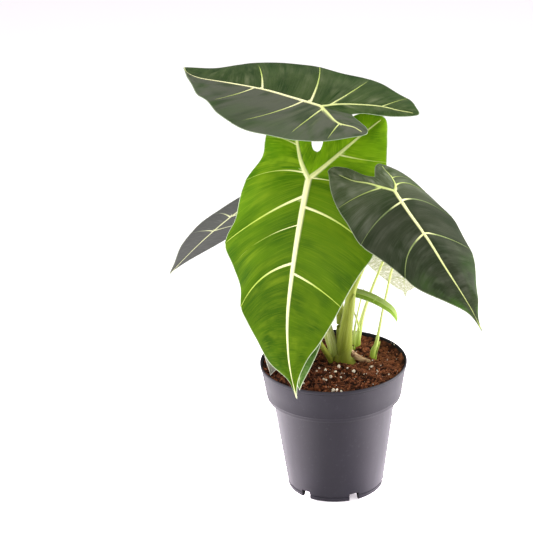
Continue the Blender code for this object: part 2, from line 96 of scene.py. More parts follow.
camera = add_object("camera", bpy.data.cameras.new("camera"))
bpy.context.scene.camera = camera
camera.data.sensor_width = SENSOR
camera.data.lens = LENS
camera.data.clip_end = 20
tilt = Euler((math.radians(90 - ELEVATION), 0, 0)).to_matrix()
turn = tilt @ Matrix.Rotation(math.radians(ROLL), 3, "Z")
eye = TARGET + turn @ Vector((0, 0, DISTANCE))
camera.matrix_world = Matrix.Translation(eye) @ turn.to_4x4()
print("camera at", [round(c, 2) for c in eye])

# %% [markdown]
# ## Floor and light
#
# A plant in a catalogue stands on white, in light with no hard shadows. A wide white floor, a white
# sky and large area lights give that. Two lights stand low at the sides, because the pot is bright at
# its edges and dark in the middle. One hangs above and one stands in front, for the leaves.

# %% Floor and light
FLOOR_REACH = 6
SKY_STRENGTH = 0.5
LIGHTS = [
    # name, place, target, size and power in watts
    ("left_light", (-0.8, 0.05, 0.26), (0, 0, 0.1), (0.9, 0.55), 9),
    ("right_light", (0.8, 0.05, 0.26), (0, 0, 0.1), (0.9, 0.55), 17),
    ("top_light", (-0.3, 0.1, 1.9), (0, 0, 0.15), (1.4, 1.4), 20),
    ("front_light", (-0.5, -2.0, 1.5), (0, 0, 0.2), (1.5, 1.5), 30),
]


def make_light(name, place, target, size, power):
    light = bpy.data.lights.new(name, "AREA")
    light.shape = "RECTANGLE"
    light.size, light.size_y = size
    light.energy = power
    lamp = add_object(name, light)
    lamp.location = place
    lamp.rotation_euler = (Vector(target) - Vector(place)).to_track_quat("-Z", "Y").to_euler()


floor_plane = bmesh.new()
bmesh.ops.create_grid(floor_plane, x_segments=2, y_segments=2, size=FLOOR_REACH)
floor = add_object("floor", mesh_from("floor", floor_plane))
floor_paint = bpy.data.materials.new("floor_white")
floor_paint.use_nodes = True
floor.data.materials.append(floor_paint)

sky = bpy.data.worlds.new("studio")
sky.use_nodes = True
background = sky.node_tree.nodes["Background"]
background.inputs["Color"].default_value = (1, 1, 1, 1)
background.inputs["Strength"].default_value = SKY_STRENGTH
bpy.context.scene.world = sky
bpy.context.scene.view_settings.view_transform = "Standard"
for entry in LIGHTS:
    make_light(*entry)
print("lights:", len(bpy.data.lights))

# %% [markdown]
# ## Helpers for shapes
#
# Each piece is made in a bmesh, where sizes are in mm so that they read like a drawing. One helper
# then scales it to metres, turns its faces outwards and makes it a piece of the object. Smooth
# shading with sharp edges past a given angle keeps round things round and rims crisp.

# %% Shape helpers
MERGE = 0.004


def finish_piece(name, bm, material, replaced, sharp=50):
    """Make a bmesh in mm into a piece that rides with the plant and stands for CAD nodes."""
    bmesh.ops.remove_doubles(bm, verts=bm.verts, dist=MERGE)
    bmesh.ops.recalc_face_normals(bm, faces=bm.faces)
    bmesh.ops.scale(bm, vec=(MM, MM, MM), verts=bm.verts)
    mesh = mesh_from(name, bm)
    for helper in ("rise", "sheet_normal"):
        if helper in mesh.attributes:
            mesh.attributes.remove(mesh.attributes[helper])
    for polygon in mesh.polygons:
        polygon.use_smooth = True
    mesh.set_sharp_from_angle(angle=math.radians(sharp))
    mesh.materials.append(material)
    piece = add_object(name, mesh)
    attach(piece, "root")
    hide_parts(*replaced)
    triangles = sum(len(polygon.vertices) - 2 for polygon in mesh.polygons)
    print(f"{name}: {triangles} triangles")
    return piece


def spline(points, t):
    """Point on the smooth curve through the points, with t counted in points."""
    i = max(0, min(int(t), len(points) - 2))
    f = t - i
    a = points[max(i - 1, 0)]
    b = points[i]
    c = points[i + 1]
    d = points[min(i + 2, len(points) - 1)]
    return 0.5 * (2 * b + (c - a) * f + (2 * a - 5 * b + 4 * c - d) * f**2
                  + (3 * b - a - 3 * c + d) * f**3)


def lengths(points):
    """Distances from each point to the next."""
    return [(points[i + 1] - points[i]).length for i in range(len(points) - 1)]


def along(points, distance):
    """Point a distance along the smooth curve through the points."""
    steps = lengths(points)
    i = 0
    while i < len(steps) - 1 and distance > steps[i]:
        distance -= steps[i]
        i += 1
    return spline(points, i + min(1, distance / steps[i]))


def spin_profile(profile, sides):
    """A bmesh of revolution from (radius, height) points that start and end on the axis."""
    bm = bmesh.new()
    verts = [bm.verts.new((r, 0, z)) for r, z in profile]
    edges = [bm.edges.new(pair) for pair in zip(verts, verts[1:])]
    bmesh.ops.spin(bm, geom=verts + edges, axis=(0, 0, 1), cent=(0, 0, 0), steps=sides,
                   angle=2 * math.pi, use_merge=True)
    bmesh.ops.remove_doubles(bm, verts=bm.verts, dist=0.01)
    return bm


print("shape helpers ready")

# %% [markdown]
# ## Helpers for materials
#
# A material is a small network: coordinates go into a noise, the noise into a ramp of colours, and
# the ramp into the shader. These helpers add one node each and join it to what feeds it, so that a
# material reads like its recipe.

# %% Material helpers
def new_material(name, roughness):
    material = bpy.data.materials.new(name)
    material.use_nodes = True
    shader = material.node_tree.nodes["Principled BSDF"]
    shader.inputs["Roughness"].default_value = roughness
    return material, material.node_tree, shader


def feed(tree, node, inputs):
    """Join or set the inputs of a node, given as (input, value) pairs."""
    for key, value in inputs:
        if isinstance(value, bpy.types.NodeSocket):
            tree.links.new(value, node.inputs[key])
        else:
            node.inputs[key].default_value = value


def add_node(tree, kind, inputs=(), **settings):
    """Add a node, set its own settings and feed its inputs."""
    node = tree.nodes.new("ShaderNode" + kind)
    for setting, value in settings.items():
        setattr(node, setting, value)
    feed(tree, node, inputs)
    return node


def object_place(tree):
    """Coordinates in metres on the piece itself, which stay put when the view moves."""
    return add_node(tree, "TexCoord").outputs["Object"]


def read_attribute(tree, name, output):
    return add_node(tree, "Attribute", attribute_name=name).outputs[output]


def add_noise(tree, vector, scale, detail=3.0, stretch=(1, 1, 1)):
    """Noise from 0 to 1 on the given coordinates, stretched first."""
    placed = add_node(tree, "Mapping", [("Vector", vector), ("Scale", stretch)])
    inputs = [("Vector", placed.outputs[0]), ("Scale", scale), ("Detail", detail)]
    return add_node(tree, "TexNoise", inputs).outputs[0]


def add_ramp(tree, value, stops):
    """Ramp of (position, colour or number) stops."""
    ramp = add_node(tree, "ValToRGB", [("Fac", value)])
    elements = ramp.color_ramp.elements
    while len(elements) < len(stops):
        elements.new(0.5)
    for element, (position, colour) in zip(elements, stops):
        element.position = position
        element.color = (*colour, 1) if isinstance(colour, tuple) else (colour, colour, colour, 1)
    return ramp.outputs[0]


def map_range(tree, value, start, end, at_start=0.0, at_end=1.0):
    """A number that goes from at_start to at_end while the value goes from start to end."""
    inputs = [(0, value), (1, start), (2, end), (3, at_start), (4, at_end)]
    return add_node(tree, "MapRange", inputs).outputs[0]


def mix_colours(tree, factor, first, second, blend="MIX"):
    """Mix two colours, where each may be a socket or an (r, g, b) colour."""
    first, second = [(*c, 1) if isinstance(c, tuple) else c for c in (first, second)]
    inputs = [(0, factor), (6, first), (7, second)]
    return add_node(tree, "Mix", inputs, data_type="RGBA", blend_type=blend).outputs[2]


def calculate(tree, operation, first, second=0.0):
    return add_node(tree, "Math", [(0, first), (1, second)], operation=operation).outputs[0]


def multiply(tree, first, second):
    return calculate(tree, "MULTIPLY", first, second)


def add_bump(tree, shader, height, distance, strength=1.0):
    bump = add_node(tree, "Bump", [("Height", height), ("Distance", distance), ("Strength", strength)])
    feed(tree, shader, [("Normal", bump.outputs[0])])


print("material helpers ready")

# %% [markdown]
# The camera looks down, so the pot's wall mirrors the floor close to it. In the photograph that
# wall is dark in the middle and bright at its edges. So the floor glows beside the pot, where the
# picture is white anyway, and only as much as white needs in front of it.

# %% Floor glow
FRONT_GLOW = 0.52
SIDE_GLOW = 4.2
GLOW_FROM, GLOW_TO = 0.13, 0.31


def paint_floor(material):
    tree = material.node_tree
    shader = tree.nodes["Principled BSDF"]
    place = object_place(tree)
    x, y = add_node(tree, "SeparateXYZ", [(0, place)]).outputs[:2]
    flat = add_node(tree, "CombineXYZ", [(0, x), (1, calculate(tree, "MINIMUM", y))]).outputs[0]
    heading = add_node(tree, "VectorMath", [(0, flat)], operation="NORMALIZE").outputs[0]
    across = add_node(tree, "SeparateXYZ", [(0, heading)]).outputs[0]
    beside = map_range(tree, calculate(tree, "ABSOLUTE", across), 0.45, 1.0)
    distance = add_node(tree, "VectorMath", [(0, place)], operation="LENGTH").outputs["Value"]
    near = map_range(tree, distance, GLOW_FROM, GLOW_TO, 1.0, 0.0)
    glow = multiply(tree, multiply(tree, beside, near), SIDE_GLOW)
    feed(tree, shader, [
        ("Base Color", (0.55, 0.55, 0.55, 1)), ("Roughness", 0.9), ("Specular IOR Level", 0.0),
        ("Emission Color", (1, 0.91, 0.99, 1)),
        ("Emission Strength", calculate(tree, "ADD", glow, FRONT_GLOW))])


paint_floor(floor_paint)
print("floor glow:", SIDE_GLOW, "beside the pot,", FRONT_GLOW, "elsewhere")

# %% [markdown]
# ## The nursery pot
#
# A thin moulded pot: a collar with a faint bead steps in under a short ledge to a tapered wall,
# and a foot ring has slots that let water out. A pot is round, so its half section is spun
# round the axis, and the slots are cut with boxes. The inside wall is kept as in the CAD model.

# %% Pot shape
POT_UNDERSIDE = [(0, 0), (29.4, 0), (31, 4), (35, 4), (36.5, 0.4), (36.8, 0)]
POT_FOOT = [(39.1, 0), (39.5, 0.3), (39.9, 3.0), (39.8, 3.4), (39.4, 3.6), (39.4, 4.0), (40.0, 4.5)]
POT_WALL = [(44.4, 36), (50.1, 77.7), (50.3, 78.3), (50.7, 78.6), (54.3, 80.1), (54.9, 80.4)]
POT_COLLAR = [(55.2, 80.9), (55.4, 82.4), (55.6, 83.5), (55.85, 83.9), (55.8, 84.6), (57.25, 94)]
POT_RIM = [(59.3, 106.6), (59.7, 107.1), (59.95, 107.6), (60, 109.4), (59.8, 109.85), (59.4, 110)]
POT_INSIDE = [(59, 109.95), (58.75, 109.6), (58.2, 107.6), (54, 81.9), (49.2, 79.9), (38.9, 5.6),
              (30, 5.6), (28.4, 1.6), (0, 1.6)]
POT_PROFILE = POT_UNDERSIDE + POT_FOOT + POT_WALL + POT_COLLAR + POT_RIM + POT_INSIDE
POT_SIDES = 160
NOTCH_ANGLES = (-40, 20, 80, 140, 200, 260)
NOTCH_RADIUS = 41
NOTCH_BOX = (14, 8, 13.2)


def cut_notches(pot):
    """Cut the drain slots out of the foot with boxes, and keep the result as the mesh."""
    bm = bmesh.new()
    box = Matrix.Diagonal((*[side * MM for side in NOTCH_BOX], 1))
    for angle in NOTCH_ANGLES:
        turned = Matrix.Rotation(math.radians(angle - 90), 4, "Z")
        placed = turned @ Matrix.Translation((NOTCH_RADIUS * MM, 0, 0))
        bmesh.ops.create_cube(bm, size=1, matrix=placed @ box)
    boxes = add_object("notch_boxes", mesh_from("notch_boxes", bm))
    cut = pot.modifiers.new("notches", "BOOLEAN")
    cut.operation = "DIFFERENCE"
    cut.solver = "EXACT"
    cut.object = boxes
    solved = pot.evaluated_get(bpy.context.evaluated_depsgraph_get())
    whole = bpy.data.meshes.new_from_object(solved)
    pot.modifiers.clear()
    pot.data = whole
    pot.data.name = "pot_shell"
    bpy.data.objects.remove(boxes, do_unlink=True)


print("pot profile:", len(POT_PROFILE), "points, widest", max(POT_PROFILE), "mm")

# %% [markdown]
# The plastic is grey with a hint of lilac and a satin shine. Recycled plastic is never one colour,
# so a broad noise shifts it a little. A stretched noise gives the faint flow lines that run down
# the wall, and a fine one gives the skin that makes its highlights soft.

# %% Pot material and piece
def pot_material():
    material, tree, shader = new_material("pot_plastic_grey", 0.5)
    place = object_place(tree)
    broad = add_noise(tree, place, 18)
    flow = add_noise(tree, place, 60, stretch=(1, 1, 0.12))
    scuffs = add_ramp(tree, add_noise(tree, place, 320, 5), [(0.6, 0.0), (0.78, 1.0)])
    colour = add_ramp(tree, broad, [(0.3, (0.0145, 0.012, 0.018)), (0.7, (0.020, 0.017, 0.026))])
    colour = mix_colours(tree, multiply(tree, scuffs, 0.05), colour, (0.20, 0.19, 0.21))
    # Painted shade: the faces that look inwards, inside the pot, are made nearly black.
    facing = add_node(tree, "TexCoord").outputs["Normal"]
    outward = add_node(tree, "VectorMath", [(0, facing), (1, place)], operation="DOT_PRODUCT")
    inside = calculate(tree, "LESS_THAN", outward.outputs["Value"])
    colour = mix_colours(tree, inside, colour, (0.006, 0.006, 0.007))
    satin = add_ramp(tree, flow, [(0.3, 0.48), (0.7, 0.58)])
    rough = mix_colours(tree, inside, satin, (1.0, 1.0, 1.0))
    feed(tree, shader, [("Base Color", colour), ("Roughness", rough), ("Specular IOR Level", 0.27)])
    add_bump(tree, shader, add_noise(tree, place, 900, 2), 0.00006, 0.5)
    return material


pot = finish_piece("pot_shell", spin_profile(POT_PROFILE, POT_SIDES), pot_material(),
                   ["pot"], sharp=28)
cut_notches(pot)
print("pot faces after the cuts:", len(pot.data.polygons))

# %% [markdown]
# ## The soil
#
# Potting mix of coir has three things to see: a dark, rough mass, red-brown crumbs and fibres on
# it, and white grains of perlite. One spun solid fills the pot, and its top is moved up and down by
# noise. Crumbs, fibres and grains are real little shapes, strewn with a fixed seed so that each
# run gives the same soil.

# %% Soil shape
SOIL_WALL = [(0, 1.95), (27.9, 1.95), (29.6, 5.95), (38.3, 5.95), (48.6, 80.2), (53.4, 82.2),
             (57.3, 103.4)]
SOIL_TOP = 105.5
SOIL_SUNK = 1.1
SOIL_EDGE = 57.7
SOIL_RINGS = 64
SOIL_SIDES = 200


def soil_bumps(x, y):
    """The broad bumps that the CAD soil has, in mm."""
    swells = 0.9 * math.sin(x / 6.1 + 0.6) * math.cos(y / 7.3) + 0.7 * math.sin((x + y) / 4.3)
    return swells - 0.6 * math.cos(y / 9 - 1)


def soil_relief(x, y):
    """Clods and hollows of the soil in mm."""
    rough = 1.6 * noise.fractal(Vector((x / 4.2, y / 4.2, 3)), 0.9, 2.1, 4)
    return rough + 1.0 * noise.turbulence(Vector((x / 2.2, y / 2.2, 8)), 2, True)


def soil_at(x, y):
    """Height of the finished soil in mm: bumps and clods, calmer at the wall, where it banks up."""
    middle = min(1, (SOIL_EDGE - math.hypot(x, y)) / 5)
    bank = (2.1 + 1.8 * max(0, x) / SOIL_EDGE) * (1 - max(0, middle)) ** 2
    ground = SOIL_TOP - SOIL_SUNK + soil_bumps(x, y) * (0.3 + 0.7 * middle)
    return ground + soil_relief(x, y) * (0.5 + 0.5 * middle) + bank


def painted_side_light(x, y):
    """How much lighter the soil is: painted light, lighter at the back and right and darker at the front.
    """
    return 0.34 * min(1, max(0, (x + 0.6 * y) / 50 + 0.2))


def soil_mass():
    rings = [(SOIL_EDGE * (1 - k / SOIL_RINGS), SOIL_TOP) for k in range(SOIL_RINGS + 1)]
    bm = spin_profile(SOIL_WALL + rings, SOIL_SIDES)
    shade = bm.verts.layers.float.new("shade")
    painted_hollow_shade = bm.verts.layers.float.new("painted_hollow_shade")
    for vert in bm.verts:
        relief = soil_relief(vert.co.x, vert.co.y)
        # Painted light: shade lightens the raised clods and the back and right of the soil. Painted shade:
        # the low gaps are darkened nearly to black.
        vert[shade] = painted_side_light(vert.co.x, vert.co.y) + 0.4 * min(1, max(0, (relief - 1.0) / 0.8))
        vert[painted_hollow_shade] = min(0.95, max(0, (0.75 - relief) / 0.7))
        if vert.co.z > SOIL_TOP - 1:
            vert.co.z = soil_at(vert.co.x, vert.co.y)
    return bm


print("soil height in the middle:", round(soil_at(0, 0), 1), "mm")

# %% [markdown]
# The soil's finish is a ramp of browns over a fine noise. Two numbers on its points help: one, shade, makes
# the raised clods and the back and right of the soil lighter, which is painted light, and the other makes
# the gaps between clods nearly black, which is painted shade, as little light gets in there.

# %% Soil materials
def soil_material(name, dark, middle, light, scale):
    material, tree, shader = new_material(name, 0.9)
    place = object_place(tree)
    grain = add_noise(tree, place, scale, 6)
    patches = add_noise(tree, place, 190, 3)
    colour = add_ramp(tree, grain, [(0.30, dark), (0.52, middle), (0.72, light)])
    colour = mix_colours(tree, add_ramp(tree, patches, [(0.40, 0.0), (0.60, 0.85)]), colour, dark)
    # Painted light lightens the soil here, and painted shade darkens the gaps between clods.
    colour = mix_colours(tree, read_attribute(tree, "shade", "Fac"), colour, light)
    colour = mix_colours(tree, read_attribute(tree, "painted_hollow_shade", "Fac"), colour, dark)
    feed(tree, shader, [("Base Color", colour), ("Specular IOR Level", 0.1)])
    add_bump(tree, shader, grain, 0.0012, 0.9)
    return material


coir_dark = soil_material("coir_mass", (0.007, 0.0013, 0.0006), (0.105, 0.026, 0.009),
                          (0.34, 0.115, 0.050), 420)
coir_crumb = soil_material("coir_crumb", (0.024, 0.005, 0.002), (0.15, 0.040, 0.014),
                           (0.44, 0.165, 0.078), 700)
finish_piece("soil_mass", soil_mass(), coir_dark, ["soil"], sharp=180)

# %% [markdown]
# Crumbs are small twenty-sided balls, squashed, turned at random and pushed halfway into the ground. A
# fibre is a thin three-sided rod with a bend. Both hold a number called shade that the material reads to
# make some lighter than others: partly at random, as dry coir is, and partly painted light that is lighter
# at the back and right.

# %% Crumbs and fibres
CRUMBS = 2100
CRUMB_EDGE = 56
CRUMB_SEED = 4
FIBRES = 620
FIBRE_EDGE = 53
FIBRE_SEED = 9


def random_turn(chance):
    return Euler([chance.uniform(0, 2 * math.pi) for _ in range(3)]).to_matrix().to_4x4()


def random_spot(chance, edge):
    """A place on the soil in mm, spread evenly over its circle."""
    reach = edge * math.sqrt(chance.random())
    angle = chance.uniform(0, 2 * math.pi)
    x, y = reach * math.cos(angle), reach * math.sin(angle)
    return Vector((x, y, soil_at(x, y)))


def make_crumbs():
    chance = random.Random(CRUMB_SEED)
    bm = bmesh.new()
    shade = bm.verts.layers.float.new("shade")
    for _ in range(CRUMBS):
        spot = random_spot(chance, CRUMB_EDGE)
        size = 0.35 + 1.1 * chance.random() ** 2.5
        form = Matrix.Diagonal((1, chance.uniform(0.5, 1), chance.uniform(0.35, 0.7), 1))
        place = Matrix.Translation(spot) @ random_turn(chance) @ form
        # The tone is painted light at the back and right, plus a random share.
        tone = painted_side_light(spot.x, spot.y) + max(0, chance.gauss(0.08, 0.25))
        for vert in bmesh.ops.create_icosphere(bm, subdivisions=1, radius=size, matrix=place)["verts"]:
            vert[shade] = tone
            vert.co += Vector([chance.uniform(-0.2, 0.2) * size for _ in range(3)])
    return bm


def make_fibres():
    chance = random.Random(FIBRE_SEED)
    bm = bmesh.new()
    shade = bm.verts.layers.float.new("shade")
    for _ in range(FIBRES):
        spot = random_spot(chance, FIBRE_EDGE)
        heading = chance.uniform(0, 2 * math.pi)
        length = chance.uniform(3, 9)
        bend = chance.uniform(-1.2, 1.2)
        thick = chance.uniform(0.09, 0.2)
        tone = painted_side_light(spot.x, spot.y) + chance.uniform(0.05, 0.7)
        tilt = chance.uniform(-0.2, 0.35)
        rod = bmesh.ops.create_grid(bm, x_segments=6, y_segments=3, size=1)["verts"]
        for vert in rod:
            t = (vert.co.x + 1) / 2 - 0.5
            round_angle = vert.co.y * math.pi
            turned = heading + bend * t
            forward = Vector((math.cos(turned), math.sin(turned), tilt))
            side = Vector((-math.sin(turned), math.cos(turned), 0))
            fine = thick * (1 - 1.6 * t * t)
            middle = spot + forward * (length * t)
            middle.z += 0.35 - 0.8 * t * t
            rise = Vector((0, 0, fine * math.sin(round_angle)))
            vert.co = middle + side * (fine * math.cos(round_angle)) + rise
            vert[shade] = tone
    bmesh.ops.remove_doubles(bm, verts=bm.verts, dist=0.002)
    bmesh.ops.holes_fill(bm, edges=[edge for edge in bm.edges if edge.is_boundary])
    return bm


finish_piece("coir_crumbs", make_crumbs(), coir_crumb, ["soil"], sharp=180)
finish_piece("coir_fibres", make_fibres(), coir_crumb, ["soil"], sharp=180)

# %% [markdown]
# Perlite is glassy rock that popped like corn, so a grain is a white lump with dimples. The larger
# grains lie where the photograph shows them, mostly in front of the stems, and the small ones are
# strewn. The noise that dimples them would start from the clock, so its seed is set as well.

# %% Perlite
# The x, y and radius of each larger grain, in mm.
PERLITE = [(4, -6, 2.0), (1, -13, 1.4), (-7, -12, 1.6), (-4, -14, 1.1), (16, -14, 1.7), (31, -4, 1.4),
           (5, -23, 1.2), (-3, -23, 1.6), (-7, -26, 1.4), (-9, -27, 1.1), (-6, -39, 0.9), (-2, -46, 1.6),
           (1, -48, 1.4), (4, -50, 1.2), (-14, -14, 0.9), (-25, -31, 1.0), (11, -8, 0.9), (35, -10, 0.8),
           (44, -20, 1.1), (50, 32, 1.2), (52, 28, 1.1), (18, -49, 0.8), (-12, -4, 0.9)]
SMALL_GRAINS = 90
GRAIN_EDGE = 54
GRAIN_SEED = 2


def make_perlite():
    chance = random.Random(GRAIN_SEED)
    noise.seed_set(GRAIN_SEED)
    bm = bmesh.new()
    grains = list(PERLITE)
    for _ in range(SMALL_GRAINS):
        spot = random_spot(chance, GRAIN_EDGE)
        grains.append((spot.x, spot.y, chance.uniform(0.25, 0.75)))
    for x, y, size in grains:
        form = Matrix.Diagonal((1, chance.uniform(0.7, 1), chance.uniform(0.6, 0.9), 1))
        place = Matrix.Translation((x, y, soil_at(x, y) + 0.3 * size)) @ random_turn(chance) @ form
        fine = 2 if size > 0.8 else 1
        grain = bmesh.ops.create_icosphere(bm, subdivisions=fine, radius=size, matrix=place)["verts"]
        for vert in grain:
            vert.co += noise.noise_vector(vert.co * (1.1 / size)) * (0.35 * size)
    return bm


def perlite_material():
    material, tree, shader = new_material("perlite_white", 0.85)
    place = object_place(tree)
    dust = add_noise(tree, place, 900, 4)
    colour = add_ramp(tree, dust, [(0.33, (0.36, 0.22, 0.14)), (0.48, (0.58, 0.49, 0.38)),
                                   (0.66, (0.78, 0.73, 0.64))])
    feed(tree, shader, [("Base Color", colour)])
    add_bump(tree, shader, dust, 0.0006, 0.8)
    return material


finish_piece("perlite_grains", make_perlite(), perlite_material(), ["soil"], sharp=180)

# %% [markdown]
# ## The rib tables of the leaves
#
# An arrow-shaped leaf has a midrib that runs from the stem's joint to the tip, and a lobe vein on
# each side that runs back into a lobe. Side veins leave these and run out to the margin. So each
# half of a blade is written down as its ribs: how far along the midrib, or back along the lobe
# vein, a rib starts, where on the margin it ends, how much it bows and how thick it is. These are
# the CAD model's own tables, with the fine veins left in that were too thin for its solids.

# %% Rib tables
# The place is in mm, heading, pitch and roll are in degrees, and fold is in radians. Bend and curl
# are curvatures per metre. Each side, -1 and 1, has its own lobe vein and rows. A row is its start,
# the two numbers of its margin point, its bow and its vein's half width. It may leave out the last
# one or two where they are 0.
LEAVES = {
    "top": {
        "place": (-6, 0, 328), "heading": 40, "pitch": -1, "roll": -2, "vein": 1.9, "vein_end": (0.85, 1),
        "bend": (0.5, -1.0), "fold": 0.10, "curl": 3.0, "wave": 0.5,
        "midrib": [(0, 0), (0, 36), (0, 70), (-5, 108), (-9, 138), (-3, 162), (7, 180)],
        "sinus": (2, -34),
        "lobes": {-1: [(8, -16), (21, -43), (22, -62), (27, -76)],
                  1: [(13, -14), (24, -40), (25, -62), (26, -76)]},
        "rows": {
            -1: [(150, 12, 152), (122, 28.5, 124, 2), (95, 41, 102, 5), (79, 48, 81, 5, 1.1),
                 (42, 60, 54, 8), (22, 68, 28, 9, 1.3), (5, 70, 2, 6), (-8, 66, -33, 1, 1.1),
                 (-28, 61, -48), (-50, 54, -66, 0, 0.9), (-68, 43, -77), (-80, 29.8, -84),
                 (-62, 16, -70), (-44, 9, -56), (-20, 3, -42)],
            1: [(150, 18, 152), (100, 33, 140), (70, 45, 130, 2, 1.0), (40, 61, 98, 3),
                (15, 69, 78, 3, 1.3), (4, 65, 48, 4), (-8, 71, 19, 4, 1.1), (-28, 62, -14, 1),
                (-50, 52, -44, 0, 0.9), (-68, 40, -65), (-79, 26.4, -82), (-62, 15, -68), (-44, 10, -54),
                (-20, 7, -41)]},
    },
    "front": {
        "place": (-17, -15, 274), "heading": 165, "pitch": -45, "roll": 0,
        "bend": (4.0, 2.0), "fold": -0.05, "curl": 2.0, "wave": 1.2, "vein": 2.6,
        "midrib": [(0, 0), (2, 40), (4, 80), (5, 112), (3, 140), (0, 158), (-4, 175)],
        "sinus": (-3, -24.5),
        "lobes": {-1: [(12, -13), (24, -28), (36, -43), (48, -58)],
                  1: [(8, -14), (13, -28), (17, -43), (23, -58)]},
        "rows": {
            -1: [(162, 5, 160), (148, 12, 143), (122, 21, 130, 1), (98, 29, 115, 2),
                 (76, 36, 100, 2, 1.1), (50, 49, 73, 4), (25, 58, 56, 5, 1.3), (8, 61, 32, 5),
                 (-2, 61, 13, 4, 0.6), (-14, 61, -3, 2), (-31, 59, -21, -1, 1.0), (-54, 56, -44),
                 (-75, 51.2, -62), (-54, 33, -64), (-36, 19, -53), (-18, 8, -38), (-9, 6.3, -30),
                 (-4, 5.2, -26)],
            1: [(162, 3, 161), (148, 19, 148, 1), (118, 30, 130, 3), (92, 38, 117, 5),
                (68, 44, 106, 7, 1.2), (52, 46, 90, 6), (38, 54, 73, 5, 0.5), (17, 62, 56, 3, 1.4),
                (6, 56, 36, 4), (0, 55, 20, 4), (-7, 52, 3, 5, 0.9), (-20, 42, -18, 2),
                (-32, 42, -37, 2, 0.8), (-48, 38, -54), (-63, 26.2, -66), (-46, 11, -52), (-28, 4, -38),
                (-14, 2, -30), (-6, 0, -26)]},
    },
    "right": {
        "place": (47.4, -57, 277.6), "heading": -147, "pitch": -27, "roll": -6,
        "bend": (0.3, 6.8), "fold": -0.23, "curl": 3.4, "wave": 0.8, "vein": 1.5,
        "midrib": [(0, 0), (2, 25), (3, 50), (6, 80), (8, 105), (10, 124), (13, 141)],
        "sinus": (4, -21),
        "lobes": {-1: [(7, -8), (11, -19), (12, -28), (15, -35)],
                  1: [(7, -8), (14, -17), (22, -26), (26, -38)]},
        "rows": {
            -1: [(130, -8, 128), (110, 5, 110), (84, 21, 89, 1), (62, 35, 71, 2), (46, 42, 60, 2, 1.0),
                 (28, 47, 40, 5), (12, 51, 24, 8, 1.1), (3, 48, 8, 7), (-9, 43, -6, 6, 0.9),
                 (-20, 37, -21, 2, 0.7), (-30, 29, -32), (-37, 16.6, -38.4), (-24, 7, -34),
                 (-12, 1, -28)],
            1: [(128, 14, 125), (108, 22, 109, 1), (80, 32, 92, 4), (60, 36, 83, 5),
                (46, 38, 75, 5, 1.0), (28, 46, 49, 4), (13, 50, 32, 3, 1.1), (3, 49, 12, 3),
                (-10, 48, -6, 2, 0.9), (-28, 41, -27), (-38, 32, -44), (-48, 29, -49), (-43, 23, -50),
                (-34, 16, -41), (-20, 10, -27)]},
    },
}
PLAIN_LEAF = {
    "midrib": [(0, 0), (0, 34), (0, 67), (0, 100)],
    "sinus": (0, -12),
    "lobe": [(8, -12), (17, -28), (21, -42)],
    "rows": [(86, 6, 88), (66, 18, 68, 2), (42, 29, 47, 4, 0.8), (22, 36, 27, 4), (8, 39, 8, 4, 0.9),
             (-8, 38, -12, 2), (-30, 31, -35), (-46, 22.1, -46), (-30, 13, -36), (-14, 7, -24)],
}
BROAD_ROWS = [(96, 10, 96), (86, 22, 87), (68, 30, 70, 2), (46, 34, 50, 3, 0.7), (22, 37, 27, 3)]
BACKWARD_ROWS = [(86, 6, 88), (70, 18, 68, 1), (56, 29, 47, 1), (50, 32.7, 38, 1, 0.8), (42, 36, 27, 1),
                 (32, 39, 8, 1, 0.9), (12, 38, -12, 1)]
TAILED_ROWS = [(95, 1.3, 95), (89, 2.4, 89), (84, 7.6, 84), (66, 18, 68, 2, 0.7), (42, 29, 47, 4, 0.8),
               (22, 36, 27, 4)]
SMALL_LEAVES = {
    "left": {
        "place": (-54, 58, 235), "heading": 55, "pitch": -37, "roll": 13, "length": 133, "width": 1.0,
        "bend": (1.7, 2.9), "fold": -0.08, "curl": 1.5, "wave": 0.3, "vein": 1.6,
        "rows": BACKWARD_ROWS + PLAIN_LEAF["rows"][6:]},
    "hidden": {
        "place": (-28, -30, 163), "heading": 178, "pitch": -52, "roll": 0, "length": 59, "width": 0.9,
        "bend": (2.0, 2.0), "fold": -0.05, "curl": 2.0, "wave": 0, "vein": 1.0},
    "pale": {
        "place": (58, 52, 190), "heading": -12, "pitch": -58, "roll": 0, "length": 72, "width": 1.2,
        "bend": (2.0, 2.0), "fold": -0.1, "curl": 3.0, "wave": 0, "vein": 0.8,
        "rows": TAILED_ROWS + PLAIN_LEAF["rows"][4:]},
    "arched": {
        "place": (15, 20, 161), "heading": -106, "pitch": -5, "roll": -7, "length": 48, "width": 0.63,
        "bend": (14.0, 2.0), "fold": 0.1, "curl": 6.0, "wave": 0, "vein": 0.8,
        "lobes": 0.2, "hook": (35, 65.0), "rows": BROAD_ROWS + PLAIN_LEAF["rows"][4:]},
    "low": {
        "place": (-44, -7, 131), "heading": 150, "pitch": -55, "roll": 0, "length": 28, "width": 1.25,
        "bend": (2.0, 2.0), "fold": -0.1, "curl": 4.0, "wave": 0, "vein": 0.7},
}


def full_rows(rows):
    """The rows with the bow and the half width that they leave out where these are 0."""
    return [(*row, 0, 0)[:5] for row in rows]


def small_leaf(given):
    """Fill in a smaller leaf from the shared outline, which is in hundredths of its length."""
    size = given["length"] / 100
    wide = size * given["width"]
    back = size * given.get("lobes", 1)
    leaf = dict(given)
    leaf["midrib"] = [(u * wide, v * size) for u, v in PLAIN_LEAF["midrib"]]
    leaf["sinus"] = (0, PLAIN_LEAF["sinus"][1] * back)
    lobe = [(u * wide, v * back) for u, v in PLAIN_LEAF["lobe"]]
    rows = []
    for start, u, v, bow, width in full_rows(given.get("rows", PLAIN_LEAF["rows"])):
        start *= size if start > 0 else back
        v *= size if v > 0 else back
        rows.append((start, u * wide, v, bow * size, width * min(1, size)))
    leaf["lobes"] = {-1: lobe, 1: lobe}
    leaf["rows"] = {-1: rows, 1: rows}
    return leaf


LEAVES.update({name: small_leaf(given) for name, given in SMALL_LEAVES.items()})
print("leaves:", ", ".join(LEAVES))

